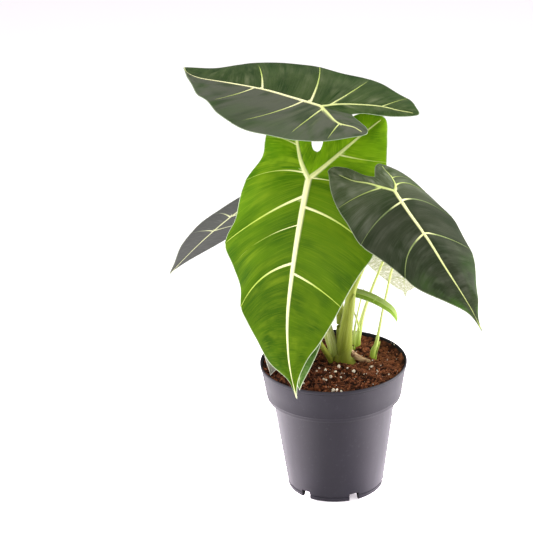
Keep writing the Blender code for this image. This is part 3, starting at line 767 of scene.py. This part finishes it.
# %% [markdown]
# ## From ribs to a blade
#
# Walk from the tip down the midrib to the joint, out along the lobe vein and back to the joint. At
# each step of that walk a row leaves the rib and ends on the margin, so the two numbers travel and
# p, from 0 at the rib to 1 at the margin, give every point of a half. A grid carries those numbers,
# and its points are then moved. Seven close rows follow each side vein, so that the vein is crisp.

# %% Half a blade
VEIN_ROWS = (-1.6, -1, -0.5, 0, 0.5, 1, 1.6)
END_GAP = 0.4
ROW_GAP = 0.15


class Half:
    """One half of a blade, laid out flat in mm between its veins and its margin."""

    def __init__(self, leaf, side):
        self.side = side
        self.vein = leaf["vein"]
        self.midrib = [Vector(p) for p in leaf["midrib"]]
        self.length = sum(lengths(self.midrib))
        self.lobe = [self.midrib[0]] + [Vector((side * u, v)) for u, v in leaf["lobes"][side]]
        self.reach = sum(lengths(self.lobe))
        self.end = self.length + 2 * self.reach
        rows = full_rows(leaf["rows"][side])
        turn_row = 1 + min(range(len(rows)), key=lambda i: rows[i][0])
        station = [self.length] + [row[0] for row in rows] + [0]
        station[turn_row] = -self.reach
        self.travel = [self.end + s if i > turn_row else self.length - s for i, s in enumerate(station)]
        ends = [Vector((side * row[1], row[2])) for row in rows]
        self.margin = [self.midrib[-1]] + ends + [Vector(leaf["sinus"])]
        self.bow = [0] + [row[3] for row in rows] + [0]
        self.width = [0] + [row[4] for row in rows] + [0]
        self.vein_end = leaf.get("vein_end", (1, 1))[0 if side < 0 else 1]

    def spine(self, travel):
        if travel <= self.length:
            return along(self.midrib, self.length - travel)
        out = travel - self.length
        return along(self.lobe, out if out < self.reach else 2 * self.reach - out)

    def rib_width(self, travel):
        """Half the width of the midrib or lobe vein, which taper to their ends."""
        if travel <= self.length:
            return self.vein * (0.05 + 0.95 * (travel / self.length) ** 0.8)
        return self.vein * (0.25 + 0.62 * abs(1 - (travel - self.length) / self.reach))

    def row_point(self, travel, p):
        """Point on the plain row that starts at this travel."""
        last = len(self.travel) - 2
        i = 0
        while i < last and travel > self.travel[i + 1]:
            i += 1
        f = (travel - self.travel[i]) / (self.travel[i + 1] - self.travel[i])
        start = self.spine(travel)
        out = spline(self.margin, i + f) - start
        bow = self.bow[i] * (1 - f) + self.bow[i + 1] * f
        across = Vector((out.y, -out.x)).normalized() * self.side
        return start + out * p + across * (4 * bow * p * (1 - p))

    def point(self, travel, p):
        """Point on any row, where the rows on a side vein run beside it."""
        for i, width in enumerate(self.width):
            if width and p > 0 and abs(travel - self.travel[i]) <= VEIN_ROWS[-1] * width + 0.001:
                centre = self.row_point(self.travel[i], p)
                ahead = self.row_point(self.travel[i], p + 0.01) - centre
                across = Vector((ahead.y, -ahead.x)).normalized() * self.side
                return centre + across * ((1 - 0.8 * p) * (travel - self.travel[i]))
        return self.row_point(travel, p)

    def quilt(self, travel):
        """0 on a side vein and 1 midway between two, for the swelling of the blade there."""
        side_veins = [travel for travel, width in zip(self.travel, self.width) if width]
        ribs = [0] + side_veins + [self.length + self.reach, self.end]
        before = max(rib for rib in ribs if rib <= travel + 0.001)
        after = min([rib for rib in ribs if rib > travel + 0.001] or [self.end + 1])
        return math.sin(math.pi * min(1, (travel - before) / (after - before)))


def choose_rows(halves, end, place, step):
    """Distances for rows from 0 to the end: seven on each side vein, and plain ones between."""
    kept = [0, end]
    for half in halves:
        for travel, width in zip(half.travel, half.width):
            for k in VEIN_ROWS if width else ():
                value = place(travel + k * width)
                clear = all(abs(value - other) > ROW_GAP for other in kept)
                if clear and END_GAP < value < end - END_GAP:
                    kept.append(value)
    kept.sort()
    rows = [0]
    for value in kept[1:]:
        start = rows[-1]
        parts = math.ceil((value - start) / step)
        rows += [start + (value - start) * k / parts for k in range(1, parts + 1)]
    return rows


def half_travels(halves, half, step):
    """The rows of a half, at the same points of the ribs as the rows they meet."""
    whole = half.length + half.reach

    def lobe_distance(travel):
        return travel - half.length if travel < whole else half.end - travel

    outer = choose_rows(halves, half.length, lambda travel: travel, step)
    lobe = choose_rows([half], half.reach, lobe_distance, step)
    return outer + [half.length + out for out in lobe[1:]] + [half.end - out for out in lobe[-2::-1]]


print("half a top leaf is", round(Half(LEAVES["top"], 1).end), "mm along its ribs")

# %% [markdown]
# The flat sheet is bent next. The midrib follows an arc that droops towards the tip and the lobes,
# each half slopes and curls, and the margin waves a little. Near a vein the sheet is thickened, so
# the ribs stand proud above and below as they do on the plant. Distances to the veins come from a
# k-d tree, which finds the nearest of many points quickly.

# %% Blade builder
HALF_THICK = 0.3
COLUMNS_ON_RIB = 5
COLUMNS_OUT = 18
RIB_STEP = 0.5
SIDE_VEIN_STEPS = 150


def curve_out(distance, slope, bend):
    """Run and rise of an arc that starts at a slope and bends down."""
    if abs(bend) < 1e-9:
        return distance * math.cos(slope), distance * math.sin(slope)
    end = slope - bend * distance
    return (math.sin(slope) - math.sin(end)) / bend, (math.cos(end) - math.cos(slope)) / bend


def shape(leaf, flat, p, swell):
    """Bend a flat point into the leaf's own space, all in mm."""
    bend = (leaf["bend"][0] if flat.y >= 0 else leaf["bend"][1]) * MM
    start, hook = leaf.get("hook", (1000, 0))
    run, rise = curve_out(min(flat.y, start), 0, bend)
    slope = -bend * min(flat.y, start)
    if flat.y > start:
        more_run, more_rise = curve_out(flat.y - start, slope, hook * MM)
        run += more_run
        rise += more_rise
        slope -= hook * MM * (flat.y - start)
    across, lift = curve_out(abs(flat.x), leaf["fold"], leaf["curl"] * MM)
    lift += leaf["wave"] * p * p * math.sin(flat.y / 9 + flat.x / 28) + swell
    forward = run - lift * math.sin(slope)
    return Vector((math.copysign(across, flat.x), forward, rise + lift * math.cos(slope)))


def leaf_turn(leaf):
    """How the leaf is turned in the plant."""
    return Euler([math.radians(leaf[name]) for name in ("pitch", "roll", "heading")], "YXZ").to_matrix()


def fill_tree(points):
    tree = kdtree.KDTree(len(points))
    for i, (point, width) in enumerate(points):
        tree.insert(point.to_3d(), i)
    tree.balance()
    return tree, [width for point, width in points]


def rib_tree(halves):
    """Tree of points on the midrib and lobe veins, with the half width at each."""
    points = []
    for half in halves:
        whole = half.length + half.reach
        count = round(whole / RIB_STEP)
        for k in range(count + 1):
            travel = whole * k / count
            points.append((half.spine(travel), half.rib_width(travel)))
    return fill_tree(points)


def side_vein_tree(halves):
    """Tree of points on the side veins, which thin out and fade before the margin."""
    points = []
    for half in halves:
        for travel, width in zip(half.travel, half.width):
            for k in range(SIDE_VEIN_STEPS + 1 if width else 0):
                share = k / SIDE_VEIN_STEPS
                point = half.row_point(travel, share * half.vein_end)
                points.append((point, 0.8 * width * (1 - 0.8 * share)))
    return fill_tree(points)


def vein_share(tree_and_widths, flat):
    """1 on a vein's middle and 0 at its edge or further, with the vein's half width."""
    tree, widths = tree_and_widths
    nearest, i, distance = tree.find(flat.to_3d())
    return max(0, 1 - distance / max(widths[i], 0.05)), widths[i]


def dome(share):
    return math.sqrt(max(0, 1 - (1 - share) ** 2))


def column_places(half, travel):
    """Where the points of a row lie: close together on the rib, and one close to the margin."""
    out = max((half.row_point(travel, 1) - half.spine(travel)).length, 0.05)
    rib = min(0.4, 1.5 * half.rib_width(travel) / out)
    last = max(0.9, 1 - 0.7 / out)
    inner = [rib * k / COLUMNS_ON_RIB for k in range(COLUMNS_ON_RIB)]
    return inner + [rib + (last - rib) * k / COLUMNS_OUT for k in range(COLUMNS_OUT + 1)] + [1]


def make_blade(leaf, step, swell, rib_height):
    """A closed blade in mm with raised veins, and what its material reads on every point."""
    bm = bmesh.new()
    place_layer = bm.verts.layers.float_vector.new("leaf_place")
    vein_layer = bm.verts.layers.float.new("vein")
    margin_layer = bm.verts.layers.float.new("margin")
    upper_layer = bm.verts.layers.float.new("upper")
    rise_layer = bm.verts.layers.float.new("rise")
    normal_layer = bm.verts.layers.float_vector.new("sheet_normal")
    halves = [Half(leaf, side) for side in (-1, 1)]
    ribs, side_veins = rib_tree(halves), side_vein_tree(halves)
    for half in halves:
        travels = half_travels(halves, half, step)
        places = [column_places(half, travel) for travel in travels]
        columns = len(places[0])
        first = len(bm.verts)
        bmesh.ops.create_grid(bm, x_segments=len(travels) - 1, y_segments=columns - 1, size=1)
        bm.verts.ensure_lookup_table()
        for vert in bm.verts[first:]:
            row = round((vert.co.x + 1) / 2 * (len(travels) - 1))
            travel, p = travels[row], places[row][round((vert.co.y + 1) / 2 * (columns - 1))]
            flat = half.point(travel, p)
            rib, rib_wide = vein_share(ribs, flat)
            vein, vein_wide = vein_share(side_veins, flat)
            thin = 1 - 0.55 * p**6
            vert[place_layer] = (travel / 10, p, half.side)
            vert[vein_layer] = max(rib, vein)
            vert[margin_layer] = (1 - p) * (half.row_point(travel, 1) - half.spine(travel)).length
            vert[rise_layer] = max(rib_height * dome(rib) * (0.3 + 0.7 * rib_wide / half.vein),
                                   0.62 * vein_wide * dome(vein))
            quilted = swell * half.quilt(travel) * (1 - (1 - p) ** 3) * (1 - p**3)
            vert.co = shape(leaf, flat, p, quilted)
            vert[upper_layer] = thin
    bmesh.ops.remove_doubles(bm, verts=bm.verts, dist=0.01)
    bmesh.ops.recalc_face_normals(bm, faces=bm.faces)
    if sum(face.normal.z for face in bm.faces) < 0:
        bmesh.ops.reverse_faces(bm, faces=bm.faces)
    bm.normal_update()
    for vert in bm.verts:
        vert[normal_layer] = vert.normal
    upper = list(bm.verts)
    made = bmesh.ops.extrude_face_region(bm, geom=bm.faces[:], use_keep_orig=True)
    lower = [item for item in made["geom"] if isinstance(item, bmesh.types.BMVert)]
    for vert in lower:
        vert.co -= vert[normal_layer] * (HALF_THICK * vert[upper_layer] + 0.9 * vert[rise_layer])
        vert[upper_layer] = 0
    for vert in upper:
        vert.co += vert[normal_layer] * (HALF_THICK * vert[upper_layer] + vert[rise_layer])
        vert[upper_layer] = 1
    matrix = Matrix.Translation(leaf["place"]) @ leaf_turn(leaf).to_4x4()
    bmesh.ops.transform(bm, matrix=matrix, verts=bm.verts)
    return bm


print("columns across half a blade:", COLUMNS_ON_RIB + COLUMNS_OUT + 2)

# %% [markdown]
# ## How a leaf is coloured
#
# The blade of this plant is velvety and dark, its veins are cream, and its margin is a thin pale
# line. The numbers travel and p on its points follow the ribs, so a noise stretched along p gives
# streaks that run out beside the side veins, as the fine veins of a real blade do. A second, broad
# noise shifts the green, and the underside is paler. Velvet has hardly any shine, so the specular
# level is low.

# %% Leaf material
CREAM = (0.86, 0.82, 0.46)
LIME = (0.46, 0.56, 0.14)
EDGE = (0.60, 0.66, 0.46)
LEAF_ROUGHNESS = 0.5


def leaf_material(name, deep, body, streak, under, rib, rib_far, edge, grey=(0, 0, 0), painted_sheen_share=0.0,
                  tip=(12, 17, 1.0), lobe=(18, 1.0), thread_share=0.22, thread_scale=9.0, fade=0.75,
                  specular=0.05, lobe_rib=0.0, green=(0, 0, 0), green_share=0.0, green_reach=(40, 50),
                  tip_rib=0.0):
    """The tip is (from, to, gain) and the lobe (from, gain), with distances in cm from the leaf's tip.
    Their gains are painted light and painted shade.
    """
    material, tree, shader = new_material(name, LEAF_ROUGHNESS)
    place = read_attribute(tree, "leaf_place", "Vector")
    travel, out, side = add_node(tree, "SeparateXYZ", [(0, place)]).outputs
    fine = add_noise(tree, place, 1.0, 5, stretch=(1.7, 1.1, 4))
    broad = add_noise(tree, place, 1.0, 2, stretch=(0.55, 1.3, 4))
    colour = add_ramp(tree, broad, [(0.34, deep), (0.62, body)])
    streaks = add_ramp(tree, fine, [(0.46, 0.0), (0.72, 1.0)])
    spots = add_noise(tree, place, 1.0, 2, stretch=(0.6, 2.2, 7))
    patches = add_ramp(tree, spots, [(0.40, 0.1), (0.62, 1.0)])
    colour = mix_colours(tree, multiply(tree, streaks, patches), colour, streak)
    # Painted sheen: on one half of the blade, patches are mixed towards the colour given as grey, standing
    # in for the shine of velvet.
    one_half = add_ramp(tree, side, [(0.0, painted_sheen_share), (0.02, 0.0)])
    painted_sheen = multiply(tree, one_half, add_ramp(tree, broad, [(0.36, 0.35), (0.54, 1.0)]))
    colour = mix_colours(tree, painted_sheen, colour, grey)
    outer = multiply(tree, add_ramp(tree, out, [(0.35, 0.0), (0.95, 1.0)]), patches)
    reach = map_range(tree, travel, *green_reach, green_share, 0.0)
    colour = mix_colours(tree, multiply(tree, outer, reach), colour, green)
    lines = add_noise(tree, place, thread_scale, 2, stretch=(2.4, 0.25, 3))
    threads = add_ramp(tree, lines, [(0.52, 0.0), (0.62, thread_share)])
    colour = mix_colours(tree, threads, colour, streak)
    under = mix_colours(tree, threads, under, streak)
    # Painted light and shade: the colour is made lighter or darker near the tip and on the lobes, standing
    # in for how much light reaches them.
    near_tip = map_range(tree, travel, tip[0], tip[1], 1.0, 0.0)
    colour = mix_colours(tree, near_tip, colour, (tip[2],) * 3, "MULTIPLY")
    on_lobe = map_range(tree, travel, lobe[0] - 1.5, lobe[0] + 1.5)
    colour = mix_colours(tree, on_lobe, colour, (lobe[1],) * 3, "MULTIPLY")
    veins = read_attribute(tree, "vein", "Fac")
    pale = mix_colours(tree, add_ramp(tree, out, [(0.08, 0.0), (fade, 1.0)]), rib, rib_far)
    pale = mix_colours(tree, multiply(tree, on_lobe, lobe_rib), pale, LIME)
    pale = mix_colours(tree, map_range(tree, travel, 0.0, 13.0, tip_rib, 0.0), pale, LIME)
    upper = read_attribute(tree, "upper", "Fac")
    colour = mix_colours(tree, add_ramp(tree, upper, [(0.45, 1.0), (0.55, 0.0)]), colour, under)
    colour = mix_colours(tree, add_ramp(tree, veins, [(0.0, 0.0), (0.10, 0.45), (0.34, 1.0)]), colour, pale)
    line = add_ramp(tree, read_attribute(tree, "margin", "Fac"), [(0.10, 1.0), (0.75, 0.0)])
    colour = mix_colours(tree, line, colour, edge)
    velvet = add_ramp(tree, fine, [(0.3, LEAF_ROUGHNESS - 0.05), (0.7, LEAF_ROUGHNESS + 0.08)])
    feed(tree, shader, [("Base Color", colour), ("Roughness", velvet), ("Specular IOR Level", specular)])
    height = mix_colours(tree, 0.5, fine, add_noise(tree, object_place(tree), 1400, 2))
    add_bump(tree, shader, height, 0.0005, 0.35)
    return material


dark_finish = leaf_material(
    "leaf_dark_velvet", (0.010, 0.030, 0.003), (0.040, 0.066, 0.016), (0.105, 0.125, 0.060),
    (0.12, 0.16, 0.06), CREAM, LIME, (0.26, 0.32, 0.20), (0.084, 0.085, 0.068), 0.78,
    lobe=(18, 1.15), fade=0.5, lobe_rib=0.6, green=(0.020, 0.062, 0.003), green_share=0.4)
# The front blade's bright greens are partly its own colour and partly painted light, standing in for light
# that shines through the blade from behind.
bright_backlit_finish = leaf_material(
    "leaf_bright_backlit_green", (0.038, 0.110, 0.002), (0.086, 0.185, 0.003), (0.18, 0.285, 0.010),
    (0.13, 0.24, 0.04), (0.95, 0.92, 0.50), (0.50, 0.62, 0.10), EDGE, (0.13, 0.24, 0.003), 0.35,
    tip=(9, 18, 0.68), lobe=(18.5, 1.65), fade=0.5, thread_share=0.45, lobe_rib=0.5)
slate_finish = leaf_material(
    "leaf_slate_velvet", (0.012, 0.020, 0.006), (0.028, 0.034, 0.018), (0.066, 0.072, 0.050),
    (0.10, 0.13, 0.06), (0.82, 0.82, 0.42), (0.11, 0.145, 0.065), (0.24, 0.28, 0.17),
    tip=(0.5, 4.5, 2.1), lobe=(14.0, 2.8), fade=0.25, lobe_rib=0.75,
    green=(0.028, 0.080, 0.004), green_share=0.7, green_reach=(5, 10), tip_rib=0.85)
# Painted sheen: the left blade's light greys stand in for the shine of velvet seen at a slant, and its
# specular level is 0.
sheen_grey_finish = leaf_material(
    "leaf_painted_sheen_grey", (0.050, 0.053, 0.047), (0.076, 0.078, 0.070), (0.135, 0.137, 0.125),
    (0.052, 0.054, 0.050), (0.42, 0.44, 0.26), (0.12, 0.13, 0.10), (0.20, 0.22, 0.17),
    tip=(0.5, 5, 1.5), specular=0.0)
pale_finish = leaf_material(
    "leaf_pale_new", (0.22, 0.25, 0.14), (0.34, 0.36, 0.25), (0.74, 0.74, 0.66),
    (0.30, 0.32, 0.20), (0.30, 0.36, 0.14), (0.28, 0.33, 0.15), (0.44, 0.50, 0.28),
    thread_share=1.0, thread_scale=16.0, specular=0.0)
young_finish = leaf_material(
    "leaf_young_green", (0.032, 0.078, 0.012), (0.066, 0.125, 0.026), (0.17, 0.25, 0.09),
    (0.12, 0.20, 0.06), (0.60, 0.62, 0.30), (0.24, 0.32, 0.12), (0.62, 0.66, 0.50),
    tip=(0.5, 3.2, 1.9), specular=0.0)
old_finish = leaf_material(
    "leaf_old_grey", (0.17, 0.19, 0.10), (0.34, 0.31, 0.29), (0.50, 0.46, 0.44),
    (0.30, 0.28, 0.25), (0.40, 0.40, 0.28), (0.34, 0.34, 0.26), (0.55, 0.52, 0.46),
    tip=(0.4, 1.8, 0.4), specular=0.0)
arched_finish = leaf_material(
    "leaf_arched_green", (0.070, 0.13, 0.009), (0.115, 0.175, 0.024), (0.19, 0.25, 0.055),
    (0.17, 0.22, 0.07), (0.24, 0.34, 0.07), (0.24, 0.34, 0.07), (0.28, 0.36, 0.14),
    (0.20, 0.25, 0.085), 0.8, tip=(0.4, 2.2, 1.5), specular=0.0)
print("leaf materials:", len([m for m in bpy.data.materials if m.name.startswith("leaf_")]))

# %% [markdown]
# ## The eight leaves
#
# Four large leaves carry the look of the plant, with rows at most 2 mm apart. The small ones get
# closer rows, since they are as finely veined. Each blade stands for its CAD solid and, on a large
# leaf, for the CAD net of veins as well. A finer curve reaches a little past the CAD solid's few
# corners, so the outermost points are held at the size of the CAD model.

# %% Blades
def keep_in_box(bm):
    """Press the last fraction of a millimetre of a blade's edge back into the CAD model's box."""
    low, high = cad_box
    for vert in bm.verts:
        vert.co = [min(max(c, a / MM), b / MM) for c, a, b in zip(vert.co, low, high)]


BLADES = [
    # name, finish, slot, and in mm the step from row to row, the swell and the height of the ribs
    ("top", dark_finish, "dark_leaf", 2.0, 1.15, 1.1),
    ("front", bright_backlit_finish, "bright_leaf", 2.0, 1.8, 1.2),
    ("right", slate_finish, "dark_leaf", 2.0, 1.6, 1.0),
    ("left", sheen_grey_finish, "grey_leaf", 2.0, 0.9, 1.0),
    ("hidden", young_finish, "bright_leaf", 1.6, 0.3, 0.6),
    ("pale", pale_finish, "pale_leaf", 1.6, 0.4, 0.5),
    ("arched", arched_finish, "bright_leaf", 1.2, 0.2, 0.4),
    ("low", old_finish, "grey_leaf", 1.2, 0.2, 0.4),
]
for name, finish, slot, step, swell, rib_height in BLADES:
    nodes = [node for node in ("leaf_" + name, "veins_" + name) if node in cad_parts]
    blade = make_blade(LEAVES[name], step, swell, rib_height)
    keep_in_box(blade)
    finish_piece("blade_" + name, blade, finish, nodes, sharp=75)

# %% [markdown]
# ## The stems
#
# A leaf stalk is round and tapers from its base to the blade. The stalks leave the soil in one
# bundle, where the base of the oldest one wraps round the next as a thin sheath. A grid rolled up
# into a tube gives each stalk its streaks too: its points hold the angle as a cosine and a sine,
# which meet without a seam, and the distance along the stalk.

# %% Stem shapes
# The x, y, z and radius of each stem's points, in mm.
STEMS = {
    "right": [(9.4, 10, 98, 6.0), (9.2, 9, 118, 5.7), (10.6, 6, 136, 4.8), (13.2, 2, 155, 4.1),
              (16, -3, 172.6, 3.5), (21.3, -10, 190, 3.0), (35, -25, 229, 2.7), (44, -40, 253, 2.5)],
    "top": [(5, 12, 98, 3.6), (6.4, 12, 124, 3.4), (6.6, 12, 146, 3.2), (5, 14, 212, 2.5),
            (5, 16.5, 250, 2.4), (4, 17, 278, 2.3), (0.5, 15.2, 292, 2.2), (-3.5, 11.8, 304, 2.2)],
    "front": [(3.5, 11, 98, 3.2), (1.2, 10, 118, 2.8), (-2, 9, 133, 2.6), (-6, 8, 150, 2.6),
              (-12, 4, 206, 2.6)],
    "left": [(3, 14, 98, 3.0), (-6, 17, 130, 2.5), (-24, 30, 182, 2.3)],
    "hidden": [(1, 8, 98, 2.6), (-2.5, 7, 108, 2.4), (-9.6, 0, 123.5, 2.2), (-15, -8, 136, 1.8)],
    "arched": [(11, 14, 98, 3.0), (12, 18, 125, 2.0), (13.5, 20, 143, 1.5)],
    "pale": [(33, 14, 86, 2.5), (33, 14, 108, 2.4), (35.8, 15, 116, 1.7), (38.6, 20, 126, 1.2),
             (42.8, 33, 139, 1.0), (46.8, 42, 151.4, 1.0), (50.6, 48, 165.5, 1.0)],
    "low": [(-21, 10, 86, 1.8), (-21, 10, 106, 1.8), (-28, 5, 121, 1.4)],
    "shoot": [(21.4, 36, 86, 2.8), (21.4, 36, 108, 2.7), (23.4, 38, 118.7, 2.2), (26.5, 42, 130, 1.7),
              (33.3, 49, 147.2, 1.2), (43.2, 55, 169.6, 1.0), (46, 55, 178, 0.8)],
    "offshoot": [(18.2, 30, 98, 1.3), (18.2, 30, 113.4, 1.2), (19, 31, 122, 1.0), (20.3, 32, 129.2, 0.8),
                 (24.5, 36, 146.5, 0.6), (27.2, 38, 155.7, 0.4)],
    "bract": [(23.0, 36, 119, 1.0), (22.1, 36, 126, 0.9), (20.1, 34, 133.3, 0.7),
              (18.1, 33, 141.1, 0.3)],
    "crown": [(6, 10, 84, 6.5), (6, 10, 104, 6.6), (6, 10, 110, 6.2), (6, 10, 112, 5.0)],
}
STEM_SIDES = 20
SHEATH_THICK = 0.45


def stem_points(name):
    """A leaf's stalk, whose last points come up behind the blade and end against it."""
    leaf = LEAVES[name]
    up = leaf_turn(leaf) @ Vector((0, 0, 1))
    thick = min(2.2, STEMS[name][-1][3])
    bend = Vector(leaf["place"]) - up * (6 * thick)
    end = Vector(leaf["place"]) - up * (HALF_THICK + 0.1 + thick * max(0, -leaf["fold"]))
    return STEMS[name] + [(*bend, thick), (*end, 0.85 * thick)]


def stem_frame(middles, t):
    """Matrix of a ring on the stalk, with its axis along the stalk."""
    ahead = spline(middles, min(t + 0.05, len(middles) - 1)) - spline(middles, max(t - 0.05, 0))
    return Matrix.Translation(spline(middles, t)) @ ahead.to_track_quat("Z", "Y").to_matrix().to_4x4()


def make_stem(points, from_angle=-180, to_angle=180, grow=0.0, rings_each=8):
    """A closed stalk through (x, y, z, radius) points in mm, or an open shell round part of it."""
    middles = [Vector(p[:3]) for p in points]
    radii = [Vector((p[3], 0)) for p in points]
    rings = rings_each * (len(points) - 1)
    bm = bmesh.new()
    place = bm.verts.layers.float_vector.new("stem_place")
    bmesh.ops.create_grid(bm, x_segments=rings, y_segments=STEM_SIDES, size=1)
    for vert in bm.verts:
        share = (vert.co.x + 1) / 2
        t = share * (len(points) - 1)
        closing = 1 - share if to_angle < 180 else 1
        turned = 0.5 + vert.co.y / 2 * closing**0.7
        angle = math.radians(from_angle + (to_angle - from_angle) * turned)
        radius = spline(radii, t).x + grow
        matrix = stem_frame(middles, t)
        vert.co = matrix @ Vector((radius * math.cos(angle), radius * math.sin(angle), 0))
        vert[place] = (math.cos(angle), math.sin(angle), matrix.translation.z / 10)
    if to_angle >= 180:
        bmesh.ops.remove_doubles(bm, verts=bm.verts, dist=MERGE)
        bmesh.ops.holes_fill(bm, edges=[edge for edge in bm.edges if edge.is_boundary])
    else:
        bmesh.ops.recalc_face_normals(bm, faces=bm.faces)
        bmesh.ops.solidify(bm, geom=bm.faces[:], thickness=SHEATH_THICK)
    return bm


print("stems:", ", ".join(STEMS))

# %% [markdown]
# The stalks are yellow-green, with darker and lighter lines that run along them. They are darkest
# at the soil and lightest under the leaves, so the height on their points blends three greens.

# %% Stem materials
def stem_material(name, base, body, streak, top, speck):
    material, tree, shader = new_material(name, 0.42)
    place = read_attribute(tree, "stem_place", "Vector")
    height = add_node(tree, "SeparateXYZ", [(0, place)]).outputs[2]
    lines = add_noise(tree, place, 3.5, 3, stretch=(4.4, 4.4, 0.12))
    broad = add_noise(tree, place, 1.0, 2, stretch=(1.2, 1.2, 0.25))
    colour = mix_colours(tree, add_ramp(tree, broad, [(0.35, 0.0), (0.65, 0.5)]), body, streak)
    colour = mix_colours(tree, add_ramp(tree, lines, [(0.48, 0.0), (0.60, 0.9)]), colour, streak)
    colour = mix_colours(tree, map_range(tree, height, 10.3, 13.5, 1.0, 0.0), colour, base)
    colour = mix_colours(tree, map_range(tree, height, 15.0, 26.0), colour, top)
    specks = add_noise(tree, place, 26, 2, stretch=(1, 1, 0.5))
    colour = mix_colours(tree, add_ramp(tree, specks, [(0.62, 0.0), (0.74, 0.35)]), colour, speck)
    rough = add_ramp(tree, lines, [(0.3, 0.32), (0.7, 0.46)])
    feed(tree, shader, [("Base Color", colour), ("Roughness", rough), ("Specular IOR Level", 0.2)])
    add_bump(tree, shader, lines, 0.0005, 0.5)
    return material


stalk_green = stem_material(
    "stalk_green", (0.145, 0.15, 0.014), (0.19, 0.23, 0.013), (0.35, 0.39, 0.07),
    (0.37, 0.45, 0.08), (0.17, 0.18, 0.02))
stalk_light = stem_material(
    "stalk_light", (0.20, 0.27, 0.020), (0.38, 0.44, 0.05), (0.78, 0.80, 0.42),
    (0.46, 0.54, 0.08), (0.28, 0.30, 0.05))
stalk_thin = stem_material(
    "stalk_thin", (0.26, 0.38, 0.03), (0.50, 0.58, 0.12), (0.70, 0.75, 0.32),
    (0.58, 0.65, 0.16), (0.40, 0.46, 0.10))
sheath_green = stem_material(
    "sheath_green", (0.125, 0.14, 0.012), (0.17, 0.205, 0.013), (0.32, 0.36, 0.065),
    (0.34, 0.41, 0.07), (0.14, 0.14, 0.02))
print("stem materials:", stalk_green.name, stalk_light.name, stalk_thin.name, sheath_green.name)

# %% Stalks
for name in ("right", "top", "front", "left", "hidden", "arched"):
    finish = stalk_light if name in ("front", "left") else stalk_green
    finish_piece("stalk_" + name, make_stem(stem_points(name)), finish, ["stem_cluster"])
finish_piece("crown", make_stem(STEMS["crown"]), stalk_green, ["stem_cluster"])
for name in ("pale", "low"):
    finish_piece("stalk_" + name, make_stem(stem_points(name)), stalk_thin, ["stem_" + name])
for name in ("shoot", "offshoot", "bract"):
    finish_piece("stalk_" + name, make_stem(STEMS[name]), stalk_thin, ["stem_shoot"])

# %% [markdown]
# The sheath is the same stalk shape, but only part of the way round and a little wider, given a
# thickness. Its two margins close in on each other towards the top, where it runs out.

# %% Sheaths
SHEATH_GROW = 0.35
SHEATHS = [
    # name, first and last angle round the stalk, finish, CAD node and points
    ("sheath_main", -250, 70, sheath_green, "stem_cluster",
     [(10.8, 9.6, 101, 7.6), (10.2, 9.4, 108, 6.9), (9.3, 9, 118, 6.1), (10.6, 6, 136, 5.1),
      (13.2, 2, 155, 4.3), (16, -3, 172.6, 3.6)]),
    ("sheath_front", -200, 60, stalk_light, "stem_cluster",
     [(3.3, 11, 101, 3.6), (1.0, 10, 118, 3.2), (-2.2, 9, 133, 2.9), (-6, 8, 148, 2.8)]),
    ("sheath_pale", -150, -30, stalk_thin, "stem_pale",
     [(33, 14, 100, 2.4), (33.4, 14, 108, 2.3), (35.6, 15, 114, 1.9), (37.4, 16, 118.5, 1.6)]),
]
for name, start, end, finish, node, points in SHEATHS:
    sheath = make_stem(points, start, end, SHEATH_GROW)
    finish_piece(name, sheath, finish, [node], sharp=60)

# %% [markdown]
# ## The dry husk
#
# An old leaf base has come away from the bundle and lies curled on the soil. It is a thin gutter,
# tan with brown flecks. A grid is curled across its width along a short path, and then thickened.

# %% Dry husk
HUSK_PATH = [(15.6, 6, 113.5), (19.2, 5, 110.2), (24, 4, 107.8), (30.5, 3, 106.4)]
HUSK_RADIUS = 3.6
HUSK_TURN = 1.15
HUSK_THICK = 0.4


def make_husk():
    bm = bmesh.new()
    bmesh.ops.create_grid(bm, x_segments=40, y_segments=16, size=1)
    path = [Vector(p) for p in HUSK_PATH]
    for vert in bm.verts:
        t = (vert.co.x + 1) / 2
        ragged = 1 + 0.12 * math.sin(vert.co.x * 9) + 0.06 * math.sin(vert.co.x * 23)
        turn = vert.co.y * HUSK_TURN * ragged
        reach = HUSK_RADIUS * (1 - 0.72 * t * t)
        up = Vector((0, 0.45, 0.9)) * math.sin(turn)
        back = Vector((0, 0.9, -0.45)) * (1 - math.cos(turn))
        wrinkle = 0.18 * noise.noise(Vector((t * 3, vert.co.y * 9, 1)))
        vert.co = spline(path, t * (len(path) - 1)) + (up + back) * (reach + wrinkle)
    bmesh.ops.recalc_face_normals(bm, faces=bm.faces)
    bmesh.ops.solidify(bm, geom=bm.faces[:], thickness=HUSK_THICK)
    return bm


def husk_material():
    material, tree, shader = new_material("husk_tan", 0.75)
    place = object_place(tree)
    fibres = add_noise(tree, place, 700, 4, stretch=(0.2, 1, 1))
    flecks = add_noise(tree, place, 420, 3)
    colour = add_ramp(tree, fibres, [(0.32, (0.19, 0.11, 0.045)), (0.66, (0.46, 0.30, 0.16))])
    brown = add_ramp(tree, flecks, [(0.54, 0.0), (0.62, 0.9)])
    colour = mix_colours(tree, brown, colour, (0.13, 0.055, 0.022))
    feed(tree, shader, [("Base Color", colour)])
    add_bump(tree, shader, fibres, 0.0004, 0.7)
    return material


finish_piece("husk", make_husk(), husk_material(), ["dry_sheath"], sharp=60)
